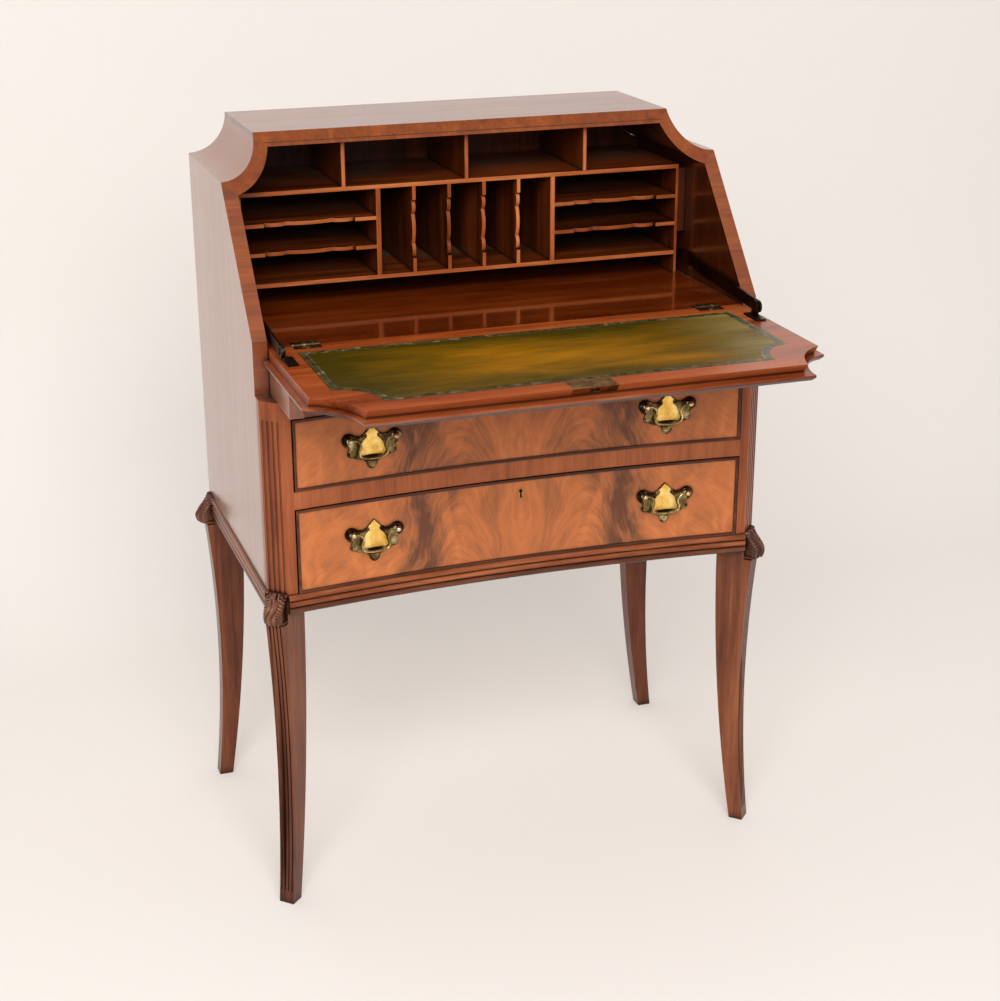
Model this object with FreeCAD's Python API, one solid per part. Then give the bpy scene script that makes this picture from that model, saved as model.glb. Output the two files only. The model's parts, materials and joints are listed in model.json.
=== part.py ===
"""Fall-front writing bureau on sabre legs, in millimetres.

X runs to the right, Y to the back and Z up, with the floor at zero and the fall open.
The origin is below the middle of the open bureau.
"""
import FreeCAD, Part
import math
import os

V = FreeCAD.Vector

# Carcase
width = 690.0
lower_depth = 415.0
ledge_depth = 42.0
bed_rise = 58.0
case_rise = 236.0
gable_thick = 19.0
top_thick = 17.0
scoop_radius = 53.0
scoop_thick = 18.0
back_thick = 8.0
seat_gap = 0.3

# Writing bed and fall
bed_thick = 18.0
bed_rail_thick = 20.0
slope_angle = 49.4
hinge_setback = 6.0
tier_thick = 12.0
lip_thick = 7.0
lip_overhang = 9.0
lip_start = 10.0
lip_round = 4.0
fall_clearance = 1.0
lip_clearance = 0.5
leather_border = 31.0
leather_thick = 1.5
leather_scoop_width = 47.0
leather_scoop_length = 58.0

# Back-flap hinges
hinge_length = 36.0
hinge_leaf = 17.0
hinge_plate = 1.6
hinge_inset = 49.0
knuckle_radius = 2.4
hinge_pin_radius = 1.1
running_gap = 0.05

# Fall lock
lock_width = 58.0
lock_depth = 29.0
lock_thick = 10.0
bolt_width = 11.0
bolt_thick = 4.0
bolt_length = 16.0
bolt_setback = 7.0
bolt_gap = 0.4
bolt_throw = 10.0

# Stays
stay_pin_forward = 58.0
stay_pin_rise = 12.0
stay_pin_radius = 2.5
stay_head_radius = 4.2
stay_height = 16.0
stay_thick = 3.0
stay_nose = 3.0
stay_length = 256.0
stay_taper_length = 90.0
stay_tip_drop = 2.0
stay_tilt = 3.5
stay_side_gap = 3.5
bracket_thick = 2.8
bracket_foot_width = 14.0
bracket_foot_start = 50.0
bracket_foot_end = 88.0
bracket_ear_width = 16.0
bracket_foot_thick = 2.0

# Lopers
loper_width = 18.0
loper_length = 300.0
loper_reach = 108.0
loper_gap = 0.5

# Lower case
front_hollow = 19.0
cant = 22.0
stile_width = 35.0
stile_depth = 36.0
ledge_board_depth = 150.0
divider_depth = 62.0
divider_thick = 24.0
ledge_board_thick = 22.0
upper_drawer_height = 96.0
lower_drawer_height = 115.0
reed_count = 4
reed_groove_radius = 1.5
reed_top_margin = 25.0
reed_side_margin = 4.4
runner_width = 36.0
runner_thick = 15.0

# Drawers
drawer_side_gap = 1.5
drawer_top_gap = 1.2
front_thick = 18.0
bead_width = 3.5
bead_proud = 1.6
bead_depth = 7.0
box_side_thick = 10.0
box_bottom_thick = 6.0
box_bottom_rise = 6.0
box_top_drop = 10.0
box_back_gap = 22.0

# Drawer lock
keyhole_drop = 19.0
keyhole_radius = 2.6
keyhole_slot = 9.0
drawer_lock_width = 46.0
drawer_lock_height = 34.0
drawer_lock_thick = 10.0
drawer_bolt_width = 12.0
drawer_bolt_thick = 4.0
drawer_bolt_length = 14.0
drawer_bolt_throw = 8.0

# Handles
handle_place = 204.5
handle_share = 0.613
post_spacing = 61.0
post_radius = 2.2
post_reach = 9.0
post_ball_radius = 3.8
plate_thick = 1.5
plate_half_width = 40.0
plate_crown = 16.0
plate_foot = 42.5
bail_radius = 2.1
bail_sides = 6
bail_pivot_radius = 1.25
bail_side_gap = 0.5
bail_neck_radius = 9.5
bail_neck_turn = 120.0
bail_corner_radius = 7.0
bail_sag_angle = 12.0

# Stand
waist_top = 453.0
waist_height = 26.0
waist_rail_thick = 20.0
waist_proud = 1.0
bead_bulge = 3.2
leg_top_width = 27.0
leg_foot_width = 22.0
leg_top_reach = 11.5
leg_top_depth = 40.0
leg_waist_reach = 2.0
leg_waist_height = 250.0
leg_inner_depth = 30.5
leg_inner_height = 200.0
leg_foot_reach = 15.0
leg_foot_length = 20.0
rear_leg_inset = 20.0
leg_groove_width = 1.8
leg_groove_depth = 1.3
leg_groove_pitch = 5.4
leg_groove_start = 18.0
knee_height = 40.0
knee_width = 34.0
knee_reach = 20.0
knee_belly_height = 11.0
knee_foot_reach = 12.0
knee_top_reach = 2.0
knee_swell = 4.0

# Pigeonholes
unit_gap = 2.0
unit_side_gap = 11.0
upper_shelf_drop = 65.0
bottom_shelf_rise = 31.0
shelf_thick = 5.5
upright_thick = 4.0
partition_place = 125.0
partition_thick = 6.5
slot_pitch = 50.0
divider_board = 5.0
upper_divider_pitch = 172.0
scallop_depth = 7.0
scallop_crest = 2.0
scallop_margin_share = 0.16
scallop_lobe_share = 0.17
filler_rise = 61.0
filler_thick = 6.0

# Places worked out from the sizes above
half_width = width / 2
lower_opening_top = waist_top + lower_drawer_height
upper_opening_bottom = lower_opening_top + divider_thick
upper_opening_top = upper_opening_bottom + upper_drawer_height
ledge_height = upper_opening_top + ledge_board_thick
bed_height = ledge_height + bed_rise
height = bed_height + case_rise
gable_inside = half_width - gable_thick
slope = math.radians(slope_angle)
rise = math.sin(slope)
run = math.cos(slope)
fall_angle = 180.0 - slope_angle
top_under = height - top_thick
tier_length = (top_under - fall_clearance - bed_height) / rise
hinge_to_back = lower_depth - ledge_depth - hinge_setback
overall_depth = hinge_to_back + tier_length + lip_overhang
back_y = overall_depth / 2
hinge_y = back_y - hinge_to_back
gable_front = hinge_y - hinge_setback
lower_front = gable_front - ledge_depth
stile_back = lower_front + stile_depth
back_inside = back_y - back_thick
fall_half = gable_inside - fall_clearance
fall_under = bed_height - tier_thick - lip_thick
hinge_place = fall_half - hinge_inset
slope_offset = tier_thick - lip_clearance
break_z = bed_height + (slope_offset - hinge_setback * rise) / run
hinge_axis = V(0, hinge_y, bed_height)
scoop_inner = scoop_radius + scoop_thick
opening_half = half_width - stile_width
hollow_radius = (opening_half ** 2 + front_hollow ** 2) / (2 * front_hollow)
hollow_centre = lower_front + front_hollow - hollow_radius
front_inside = lower_front + front_hollow + front_thick
waist_bottom = waist_top - waist_height
knee_bottom = waist_top - knee_height
unit_half_width = gable_inside - unit_side_gap
upper_shelf_height = top_under - upper_shelf_drop
bottom_shelf_height = bed_height + bottom_shelf_rise
filler_bottom = bed_height + filler_rise
unit_front = hinge_y + (top_under - bed_height) / math.tan(slope) + unit_gap


def board(x0, x1, y0, y1, z0, z1):
    """Straight board between two corners."""
    return Part.makeBox(x1 - x0, y1 - y0, z1 - z0, V(x0, y0, z0))


def outline(start, *steps):
    """Face inside a closed outline; a step is a corner, or (middle, end) of an arc."""
    edges = []
    here = start
    for step in steps:
        if isinstance(step, tuple):
            middle, end = step
            edges.append(Part.Arc(here, middle, end).toShape())
        else:
            end = step
            edges.append(Part.makeLine(here, end))
        here = end
    if not here.isEqual(start, 1e-6):
        edges.append(Part.makeLine(here, start))
    return Part.Face(Part.Wire(edges))


def prism(corners, along):
    """Solid made by drawing a straight-sided outline along a vector."""
    return outline(*corners).extrude(along)


def mirrored(shape):
    """Right-hand twin of a left-hand piece."""
    return shape.mirror(V(0, 0, 0), V(1, 0, 0))


def group(solids):
    """Several separate solids kept together in one piece."""
    return Part.makeCompound(solids)


def rod(radius, length, start, along):
    """Round rod from a point along an axis."""
    return Part.makeCylinder(radius, length, start, along)


def slope_y(z):
    """Front of the sloping gable edge at a height."""
    return hinge_y + ((z - bed_height) * run - slope_offset) / rise


def carcase_profile():
    """Side view of the carcase above the waist, drawn across the whole width."""
    corners = [
        V(-half_width, back_y, waist_top), V(-half_width, back_y, height),
        V(-half_width, slope_y(height), height), V(-half_width, gable_front, break_z),
        V(-half_width, gable_front, ledge_height), V(-half_width, stile_back, ledge_height),
        V(-half_width, stile_back, waist_top),
    ]
    return prism(corners, V(width, 0, 0))


def scoop_point(radius, angle):
    """Point in the front view on a circle round the left top corner."""
    return V(-half_width + radius * math.cos(angle), stile_back, height + radius * math.sin(angle))


def scoop_ends(radius):
    """Angles where the inside of the scoop meets the gable and the top panel."""
    at_gable = -math.acos((half_width - gable_inside) / radius)
    at_top = -math.asin(top_thick / radius)
    return at_gable, at_top


def cavity(gap, bottom):
    """Front view of the space inside the carcase, drawn in by a gap."""
    inside = gable_inside - gap
    roof = top_under - gap
    radius = scoop_inner + gap
    at_gable = -math.acos((half_width - inside) / radius)
    at_top = -math.asin((height - roof) / radius)
    low, middle, high = [scoop_point(radius, a) for a in (at_gable, (at_gable + at_top) / 2, at_top)]
    flip = [V(-p.x, p.y, p.z) for p in (low, middle, high)]
    return outline(V(-inside, stile_back, bottom), low, (middle, high), flip[2], (flip[1], flip[0]),
                   V(inside, stile_back, bottom))


def make_carcase(parts):
    """Gables, scooped corners, top, back, bed and the boards of the lower case."""
    profile = carcase_profile()
    along = V(0, back_y - stile_back, 0)
    at_gable, at_top = scoop_ends(scoop_inner)
    top_outer = scoop_point(scoop_radius, 0)
    side_outer = scoop_point(scoop_radius, -math.pi / 2)
    side_inner = scoop_point(scoop_inner, at_gable)
    top_inner = scoop_point(scoop_inner, at_top)
    outer_middle = scoop_point(scoop_radius, -math.pi / 4)
    inner_middle = scoop_point(scoop_inner, (at_gable + at_top) / 2)

    low_outer = V(-half_width, stile_back, waist_top)
    low_inner = V(-gable_inside, stile_back, waist_top)
    gable = prism([low_outer, side_outer, side_inner, low_inner], along).common(profile)
    parts["gable_left"] = gable
    parts["gable_right"] = mirrored(gable)

    corner = outline(top_outer, (outer_middle, side_outer), side_inner, (inner_middle, top_inner))
    scoop = corner.extrude(along).common(profile)
    parts["scoop_corner_left"] = scoop
    parts["scoop_corner_right"] = mirrored(scoop)

    flip = [V(-p.x, p.y, p.z) for p in (top_outer, top_inner)]
    top = prism([top_outer, flip[0], flip[1], top_inner], along).common(profile)
    parts["top_panel"] = top.cut(lock_mortise())

    back = cavity(seat_gap, waist_top).extrude(V(0, back_thick, 0))
    back.translate(V(0, back_inside - stile_back, 0))
    parts["back_panel"] = back

    bed = board(-gable_inside, gable_inside, hinge_y + seat_gap, back_inside,
                bed_height - bed_thick, bed_height)
    for side in (-1, 1):
        bed = bed.cut(hinge_recess(side, 1))
    parts["writing_bed"] = bed

    rail_half = gable_inside - loper_width - 2 * loper_gap
    rail_front = hinge_y + hinge_setback / 2
    parts["bed_rail"] = board(-rail_half, rail_half, rail_front, rail_front + bed_rail_thick,
                              ledge_height, bed_height - bed_thick)

    ledge_back = lower_front + ledge_board_depth
    ledge = hollow_board(hollow_radius, stile_back, opening_half, upper_opening_top, ledge_height)
    ledge = ledge.fuse(board(-gable_inside, gable_inside, stile_back, ledge_back,
                             upper_opening_top, ledge_height)).removeSplitter()
    parts["ledge_board"] = ledge

    divider = hollow_board(hollow_radius, lower_front + divider_depth, opening_half,
                           lower_opening_top, upper_opening_bottom)
    parts["divider_rail"] = divider.cut(drawer_bolt(bolt_gap, drawer_bolt_throw + bolt_gap))

    upper_runner = board(-gable_inside, -gable_inside + runner_width,
                         lower_front + divider_depth, back_inside,
                         upper_opening_bottom - runner_thick, upper_opening_bottom)
    rail_inside = half_width - waist_rail_thick
    lower_runner = board(-rail_inside, -rail_inside + runner_width, stile_back, back_y - waist_rail_thick,
                         waist_top - runner_thick, waist_top)
    runners = [upper_runner, mirrored(upper_runner), lower_runner, mirrored(lower_runner)]
    parts["drawer_runners"] = group(runners)


def hollow_board(radius, back, half, z0, z1):
    """Board with a hollow front of a radius and a straight back."""
    def front(x):
        return hollow_centre + math.sqrt(radius ** 2 - x ** 2)
    face = outline(V(-half, front(half), z0), (V(0, front(0), z0), V(half, front(half), z0)),
                   V(half, back, z0), V(-half, back, z0))
    return face.extrude(V(0, 0, z1 - z0))


def hollow_band(front_radius, back_radius, half, z0, z1):
    """Strip of even depth that follows the hollow front."""
    def on(radius, x):
        return V(x, hollow_centre + math.sqrt(radius ** 2 - x ** 2), z0)
    face = outline(on(front_radius, -half), (on(front_radius, 0), on(front_radius, half)),
                   on(back_radius, half), (on(back_radius, 0), on(back_radius, -half)))
    return face.extrude(V(0, 0, z1 - z0))


def make_stiles(parts):
    """Canted front corner posts with reeding."""
    z0 = waist_top
    z1 = ledge_height
    plan = [
        V(-half_width, stile_back, z0), V(-half_width, lower_front + cant, z0),
        V(-half_width + cant, lower_front, z0), V(-opening_half, lower_front, z0),
        V(-opening_half, stile_back, z0),
    ]
    stile = prism(plan, V(0, 0, z1 - z0))
    face_width = cant * math.sqrt(2)
    pitch = (face_width - 2 * reed_side_margin) / (reed_count - 1)
    for i in range(reed_count):
        across = cant * (reed_side_margin + i * pitch) / face_width
        foot = V(-half_width + across, lower_front + cant - across, z0)
        stile = stile.cut(rod(reed_groove_radius, z1 - reed_top_margin - z0, foot, V(0, 0, 1)))
    parts["reeded_stile_left"] = stile
    parts["reeded_stile_right"] = mirrored(stile)


def bead_profile(place):
    """Triple-bead section; place(out, z) puts a point on its face."""
    pitch = waist_height / 3
    corners = []
    for i in range(3):
        low = waist_bottom + i * pitch
        corners.append((place(waist_proud + bead_bulge, low + pitch / 2), place(waist_proud, low + pitch)))
    start = place(waist_proud, waist_bottom)
    return outline(place(-waist_rail_thick, waist_bottom), start, *corners,
                   place(-waist_rail_thick, waist_top))


def make_waist(parts):
    """Moulded rails that carry the case on the legs."""
    rail_end = half_width - cant
    turn = math.degrees(math.asin(rail_end / hollow_radius))

    def on_front(out, z):
        return V(0, hollow_centre + hollow_radius - out, z)
    axis = V(0, hollow_centre, 0)
    section = bead_profile(on_front)
    section.rotate(axis, V(0, 0, 1), -turn)
    parts["waist_rail_front"] = section.revolve(axis, V(0, 0, 1), 2 * turn)

    cant_end = lower_front + cant

    def on_side(out, z):
        return V(-half_width - out, cant_end, z)
    side = bead_profile(on_side).extrude(V(0, back_y - cant_end, 0))
    inner = half_width - waist_rail_thick
    corner = [
        V(-half_width, cant_end, waist_bottom), V(-rail_end, lower_front, waist_bottom),
        V(-rail_end, stile_back, waist_bottom), V(-inner, stile_back, waist_bottom),
        V(-inner, cant_end, waist_bottom),
    ]
    block = prism(corner, V(0, 0, waist_height))
    front_rail = parts["waist_rail_front"]
    side = side.fuse(block.cut(front_rail)).removeSplitter()
    parts["waist_rail_left"] = side
    parts["waist_rail_right"] = mirrored(side)
    parts["waist_rail_back"] = board(-inner, inner, back_y - waist_rail_thick, back_y,
                                     waist_bottom, waist_top - seat_gap)


def leg_side():
    """Side view of a sabre leg in the XZ plane, with its outer side towards +X and the corner at X 0."""
    def at(reach, z):
        return V(reach, 0, z)
    toe = at(leg_foot_reach, 0)
    heel = at(leg_foot_reach - leg_foot_length, 0)
    shoulder = at(leg_top_reach, knee_bottom)
    head = at(-leg_top_depth, waist_bottom)
    return outline(toe, (at(leg_waist_reach, leg_waist_height), shoulder), at(0, knee_bottom),
                   at(0, waist_bottom), head, (at(-leg_inner_depth, leg_inner_height), heel))


def leg_shape(reeded):
    """Sabre leg that tapers towards the foot, with reeding cut along its outer side if wanted."""
    half_top = leg_top_width / 2
    half_foot = leg_foot_width / 2
    leg = leg_side().extrude(V(0, leg_top_width, 0))
    leg.translate(V(0, -half_top, 0))
    back = -leg_top_depth
    taper = [V(back, -half_foot, 0), V(back, half_foot, 0), V(back, half_top, waist_bottom),
             V(back, -half_top, waist_bottom)]
    leg = leg.common(prism(taper, V(leg_top_depth + leg_foot_reach, 0, 0)))
    if reeded:
        core = leg_side().extrude(V(0, leg_groove_width, 0))
        core.translate(V(-leg_groove_depth, -leg_groove_width / 2, 0))
        groove = board(0, leg_foot_reach, -leg_groove_width / 2, leg_groove_width / 2,
                       leg_groove_start, knee_bottom).cut(core)
        for i in range(reed_count):
            cutter = groove.copy()
            cutter.translate(V(0, (i - (reed_count - 1) / 2) * leg_groove_pitch, 0))
            leg = leg.cut(cutter)
    return leg


def knee_shape():
    """Swelling knee block against the corner face, outer side towards +X."""
    half = knee_width / 2
    belly = knee_bottom + knee_belly_height

    def at(reach, z):
        return V(reach, -half, z)
    turn = math.sqrt(0.5)
    toe = at(knee_foot_reach + (knee_reach - knee_foot_reach) * turn, belly - knee_belly_height * turn)
    neck = at((knee_reach + knee_top_reach) / 2 + knee_swell, (belly + waist_top) / 2)
    side = outline(at(0, knee_bottom), at(knee_foot_reach, knee_bottom), (toe, at(knee_reach, belly)),
                   (neck, at(knee_top_reach, waist_top)), at(0, waist_top))
    plan = outline(at(0, knee_bottom), (V(knee_reach, 0, knee_bottom), V(0, half, knee_bottom)))
    return side.extrude(V(0, knee_width, 0)).common(plan.extrude(V(0, 0, knee_height)))


def place_leg(shape, x, y, angle):
    """Turn a leg or knee about Z and stand it at its corner."""
    placed = shape.copy()
    placed.rotate(V(0, 0, 0), V(0, 0, 1), angle)
    placed.translate(V(x, y, 0))
    return placed


def make_legs(parts):
    """Diagonal front legs, sideways back legs and their knees."""
    front = (-half_width + cant / 2, lower_front + cant / 2, 225)
    rear = (-half_width, back_y - rear_leg_inset, 180)
    front_leg = place_leg(leg_shape(True), *front)
    rear_leg = place_leg(leg_shape(False), *rear)
    front_knee = place_leg(knee_shape(), *front)
    rear_knee = place_leg(knee_shape(), *rear)
    rear_knee = rear_knee.cut(parts["waist_rail_left"])
    front_knee = front_knee.cut(parts["waist_rail_left"]).cut(parts["waist_rail_front"])
    for name, leg, knee in (("front", front_leg, front_knee), ("back", rear_leg, rear_knee)):
        parts["leg_" + name + "_left"] = leg
        parts["leg_" + name + "_right"] = mirrored(leg)
        parts["knee_" + name + "_left"] = knee
        parts["knee_" + name + "_right"] = mirrored(knee)


def scalloped(low, high, place, thick, standing):
    """Pigeonhole board whose front edge waves in a long lobe between two short ones."""
    span = high - low
    crest = unit_front + scallop_crest
    cusp = unit_front + scallop_depth

    def at(along, y):
        if standing:
            return V(place - thick / 2, y, low + along * span)
        return V(low + along * span, y, place - thick / 2)
    margin = scallop_margin_share
    lobe = scallop_lobe_share
    face = outline(at(0, unit_front), at(margin, unit_front), at(margin, cusp),
                   (at(margin + lobe / 2, crest), at(margin + lobe, cusp)),
                   (at(0.5, crest), at(1 - margin - lobe, cusp)),
                   (at(1 - margin - lobe / 2, crest), at(1 - margin, cusp)),
                   at(1 - margin, unit_front), at(1, unit_front), at(1, back_inside), at(0, back_inside))
    return face.extrude(V(thick, 0, 0) if standing else V(0, 0, thick))


def make_pigeonholes(parts):
    """Fitted interior behind the fall."""
    upper_low = upper_shelf_height - shelf_thick / 2
    upper_high = upper_shelf_height + shelf_thick / 2
    bottom_low = bottom_shelf_height - shelf_thick / 2
    bottom_high = bottom_shelf_height + shelf_thick / 2
    upright_inside = unit_half_width - upright_thick
    parts["upper_shelf"] = board(-unit_half_width, unit_half_width, unit_front, back_inside,
                                 upper_low, upper_high)
    parts["bottom_shelf"] = board(-upright_inside, upright_inside, unit_front, back_inside,
                                  bottom_low, bottom_high)
    upright = board(-unit_half_width, -upright_inside, unit_front, back_inside, bed_height, upper_low)
    partition = board(-partition_place - partition_thick / 2, -partition_place + partition_thick / 2,
                      unit_front, back_inside, bottom_high, upper_low)
    parts["pigeonhole_uprights"] = group([upright, mirrored(upright), partition, mirrored(partition)])

    dividers = []
    for i in (-1.5, -0.5, 0.5, 1.5):
        dividers.append(scalloped(bottom_high, upper_low, i * slot_pitch, divider_board, True))
    parts["scalloped_dividers"] = group(dividers)

    shelves = []
    third = (upper_low - bottom_high) / 3
    inner = partition_place + partition_thick / 2
    for i in (1, 2):
        shelf = scalloped(-upright_inside, -inner, bottom_high + i * third, divider_board, False)
        shelves.extend([shelf, mirrored(shelf)])
    parts["scalloped_shelves"] = group(shelves)

    uppers = []
    for i in (-1, 0, 1):
        middle = i * upper_divider_pitch
        uppers.append(board(middle - divider_board / 2, middle + divider_board / 2,
                            unit_front, back_inside, upper_high, top_under))
    parts["upper_dividers"] = group(uppers)

    filler = board(-gable_inside + seat_gap, -unit_half_width, unit_front, unit_front + filler_thick,
                   filler_bottom, upper_low)
    parts["filler_strips"] = group([filler, mirrored(filler)])


def opened(shape):
    """Turn a piece of the fall from shut to open."""
    turned = shape.copy()
    turned.rotate(hinge_axis, V(1, 0, 0), fall_angle)
    return turned


def shut(shape):
    """Turn a piece of the fall from open to shut."""
    turned = shape.copy()
    turned.rotate(hinge_axis, V(1, 0, 0), -fall_angle)
    return turned


def fall_tier():
    """Part of the fall that closes inside the opening, cut to the opening's own outline."""
    far = 2 * tier_length

    def at(along, out):
        return V(-half_width, hinge_y + along * run - out * rise, bed_height + along * rise + out * run)
    slab = prism([at(seat_gap, 0), at(far, 0), at(far, tier_thick), at(seat_gap, tier_thick)], V(width, 0, 0))
    reach = 4 * overall_depth
    room = cavity(fall_clearance, bed_height - tier_length)
    room.translate(V(0, -reach / 2, 0))
    return opened(slab.common(room.extrude(V(0, reach, 0))))


def scooped_plan(half, rear, front, centre_x, centre_along, scoop_x, scoop_y):
    """Outline in the plane of the open fall, with scooped front corners; lengths from the hinge."""
    centre = V(-centre_x, hinge_y - centre_along, 0)
    oval = Part.Ellipse(centre + V(0, scoop_y, 0), centre + V(scoop_x, 0, 0), centre)
    start = math.asin((centre_x - half) / scoop_x)
    end = math.acos((centre_along - front) / scoop_y)
    left = Part.ArcOfEllipse(oval, start, end).toShape()
    right = mirrored(left)
    side = left.valueAt(left.FirstParameter)
    tip = left.valueAt(left.LastParameter)
    rear_y = hinge_y - rear
    edges = [
        left, right,
        Part.makeLine(V(-half, rear_y, 0), side), Part.makeLine(V(half, rear_y, 0), V(-side.x, side.y, 0)),
        Part.makeLine(tip, V(-tip.x, tip.y, 0)), Part.makeLine(V(-half, rear_y, 0), V(half, rear_y, 0)),
    ]
    return Part.Face(Part.Wire(Part.__sortEdges__(edges)))


def fall_lip():
    """Moulded lip that covers the edges of the gables, scoops and top."""
    radius = scoop_inner + fall_clearance - lip_overhang
    centre_along = (height - bed_height - tier_thick * run) / rise
    plan = scooped_plan(fall_half + lip_overhang, lip_start, tier_length + lip_overhang,
                        half_width, centre_along, radius, radius / rise)
    lip = plan.extrude(V(0, 0, lip_thick))
    lip.translate(V(0, 0, fall_under))
    rear_y = hinge_y - lip_start
    edges = []
    for edge in lip.Edges:
        box = edge.BoundBox
        if box.ZMax < fall_under + lip_round / 2 and box.YMin < rear_y - lip_round:
            edges.append(edge)
    return lip.makeChamfer(lip_round, edges)


def leather_plan():
    """Outline of the leather, a border's width inside the fall."""
    half = fall_half - leather_border
    front = tier_length - leather_border
    return scooped_plan(half, leather_border, front, half, front, leather_scoop_width, leather_scoop_length)


def lock_block():
    """Space of the fall lock before its front is trimmed to the edge of the fall."""
    front = hinge_y - tier_length
    return board(-lock_width / 2, lock_width / 2, front, front + lock_depth,
                 bed_height - lock_thick, bed_height)


def fall_bolt(grow, throw):
    """Bolt of the fall lock, moved out by a throw."""
    front = hinge_y - tier_length + bolt_setback - throw
    half = bolt_width / 2 + grow
    middle = bed_height - lock_thick / 2
    return board(-half, half, front - grow, front + bolt_length + grow,
                 middle - bolt_thick / 2 - grow, middle + bolt_thick / 2 + grow)


def lock_mortise():
    """Slot in the top panel for the bolt of the shut fall."""
    return shut(fall_bolt(bolt_gap, bolt_throw + bolt_gap))


def make_fall(parts):
    """Fall board, leather, lock and bolt."""
    tier = fall_tier()
    lock = lock_block().common(tier)
    leather = leather_plan().extrude(V(0, 0, leather_thick))
    leather.translate(V(0, 0, bed_height - leather_thick))
    fall = tier.fuse(fall_lip()).removeSplitter()
    fall = fall.cut(leather).cut(lock)
    for side in (-1, 1):
        fall = fall.cut(hinge_recess(side, -1))
    parts["fall_board"] = fall
    parts["fall_leather"] = leather
    way = fall_bolt(bolt_gap, 0).fuse(fall_bolt(bolt_gap, bolt_throw))
    parts["fall_lock"] = lock.cut(way)
    parts["fall_lock_bolt"] = fall_bolt(0, 0)


def leaf_plate(side, way, start, top):
    """Flat leaf of a hinge, from a start beside the hinge line: way 1 on the bed, -1 on the fall."""
    middle = side * hinge_place
    ends = sorted((hinge_y + way * start, hinge_y + way * hinge_leaf))
    return board(middle - hinge_length / 2, middle + hinge_length / 2, ends[0], ends[1],
                 bed_height - hinge_plate, top)


def knuckle(side, first, last, radius):
    """Stretch of a hinge's knuckle between two shares of its length."""
    start = side * hinge_place - hinge_length / 2
    return rod(radius, (last - first) * hinge_length, V(start + first * hinge_length, hinge_y, bed_height),
               V(1, 0, 0))


def hinge_recess(side, way):
    """Cut for a hinge leaf and the knuckle beside it."""
    leaf = leaf_plate(side, way, -seat_gap, bed_height + hinge_plate)
    return leaf.fuse(knuckle(side, 0, 1, knuckle_radius + seat_gap))


def make_hinges(parts):
    """Back-flap hinges of the fall."""
    third = 1 / 3
    play = seat_gap / hinge_length
    for side, name in ((-1, "left"), (1, "right")):
        middle_room = knuckle(side, third - play, 2 * third + play, knuckle_radius + seat_gap)
        pin = knuckle(side, 0, 1, hinge_pin_radius)
        bed_leaf = leaf_plate(side, 1, seat_gap, bed_height).cut(middle_room)
        bed_leaf = bed_leaf.fuse([knuckle(side, 0, third - play, knuckle_radius),
                                  knuckle(side, 2 * third + play, 1, knuckle_radius), pin])
        parts["hinge_bed_" + name] = bed_leaf.removeSplitter()
        end_room = knuckle(side, 0, third, knuckle_radius + seat_gap)
        end_room = end_room.fuse(knuckle(side, 2 * third, 1, knuckle_radius + seat_gap))
        fall_leaf = leaf_plate(side, -1, seat_gap, bed_height).cut(end_room)
        fall_leaf = fall_leaf.fuse(knuckle(side, third, 2 * third, knuckle_radius))
        bore = knuckle(side, 0, 1, hinge_pin_radius + running_gap)
        parts["hinge_fall_" + name] = fall_leaf.cut(bore).removeSplitter()


def make_stays(parts):
    """Stay bars, and their brackets on the fall."""
    pin_y = hinge_y - stay_pin_forward
    pin_z = bed_height + stay_pin_rise
    bar_out = -gable_inside + stay_side_gap
    bar_in = bar_out + stay_thick
    ear_out = bar_in + seat_gap
    ear_in = ear_out + bracket_thick

    half = stay_height / 2
    blank = board(bar_out, bar_in, -stay_nose, stay_length - half, -half, half)
    for end in (-stay_nose, stay_length - half):
        blank = blank.fuse(rod(half, stay_thick, V(bar_out, end, 0), V(1, 0, 0)))
    wedge = prism([V(bar_out, stay_length - stay_taper_length, -half), V(bar_out, stay_length, -half),
                   V(bar_out, stay_length, -stay_tip_drop)], V(stay_thick, 0, 0))
    blank = blank.removeSplitter().cut(wedge)
    blank = blank.cut(rod(stay_pin_radius + running_gap, stay_thick, V(bar_out, 0, 0), V(1, 0, 0)))
    blank.rotate(V(0, 0, 0), V(1, 0, 0), stay_tilt)
    blank.translate(V(0, pin_y, pin_z))
    parts["stay_left"] = blank
    parts["stay_right"] = mirrored(blank)

    ear_half = bracket_ear_width / 2
    ear = board(ear_out, ear_in, pin_y - ear_half, pin_y + ear_half, bed_height, pin_z)
    ear = ear.fuse(rod(ear_half, bracket_thick, V(ear_out, pin_y, pin_z), V(1, 0, 0)))
    foot = board(ear_out, ear_out + bracket_foot_width, hinge_y - bracket_foot_end,
                 hinge_y - bracket_foot_start, bed_height, bed_height + bracket_foot_thick)
    head_start = bar_out - seat_gap - bracket_foot_thick / 2
    pin = rod(stay_pin_radius, ear_in - head_start, V(head_start, pin_y, pin_z), V(1, 0, 0))
    head = rod(stay_head_radius, bracket_foot_thick / 2, V(head_start, pin_y, pin_z), V(1, 0, 0))
    bracket = ear.fuse([foot, pin, head]).removeSplitter()
    parts["stay_bracket_left"] = bracket
    parts["stay_bracket_right"] = mirrored(bracket)


def make_lopers(parts):
    """Pull-out supports below the fall."""
    outside = -gable_inside + loper_gap
    front = gable_front - loper_reach
    loper = board(outside, outside + loper_width, front, front + loper_length,
                  ledge_height + seat_gap, fall_under - seat_gap)
    parts["loper_left"] = loper
    parts["loper_right"] = mirrored(loper)


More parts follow.
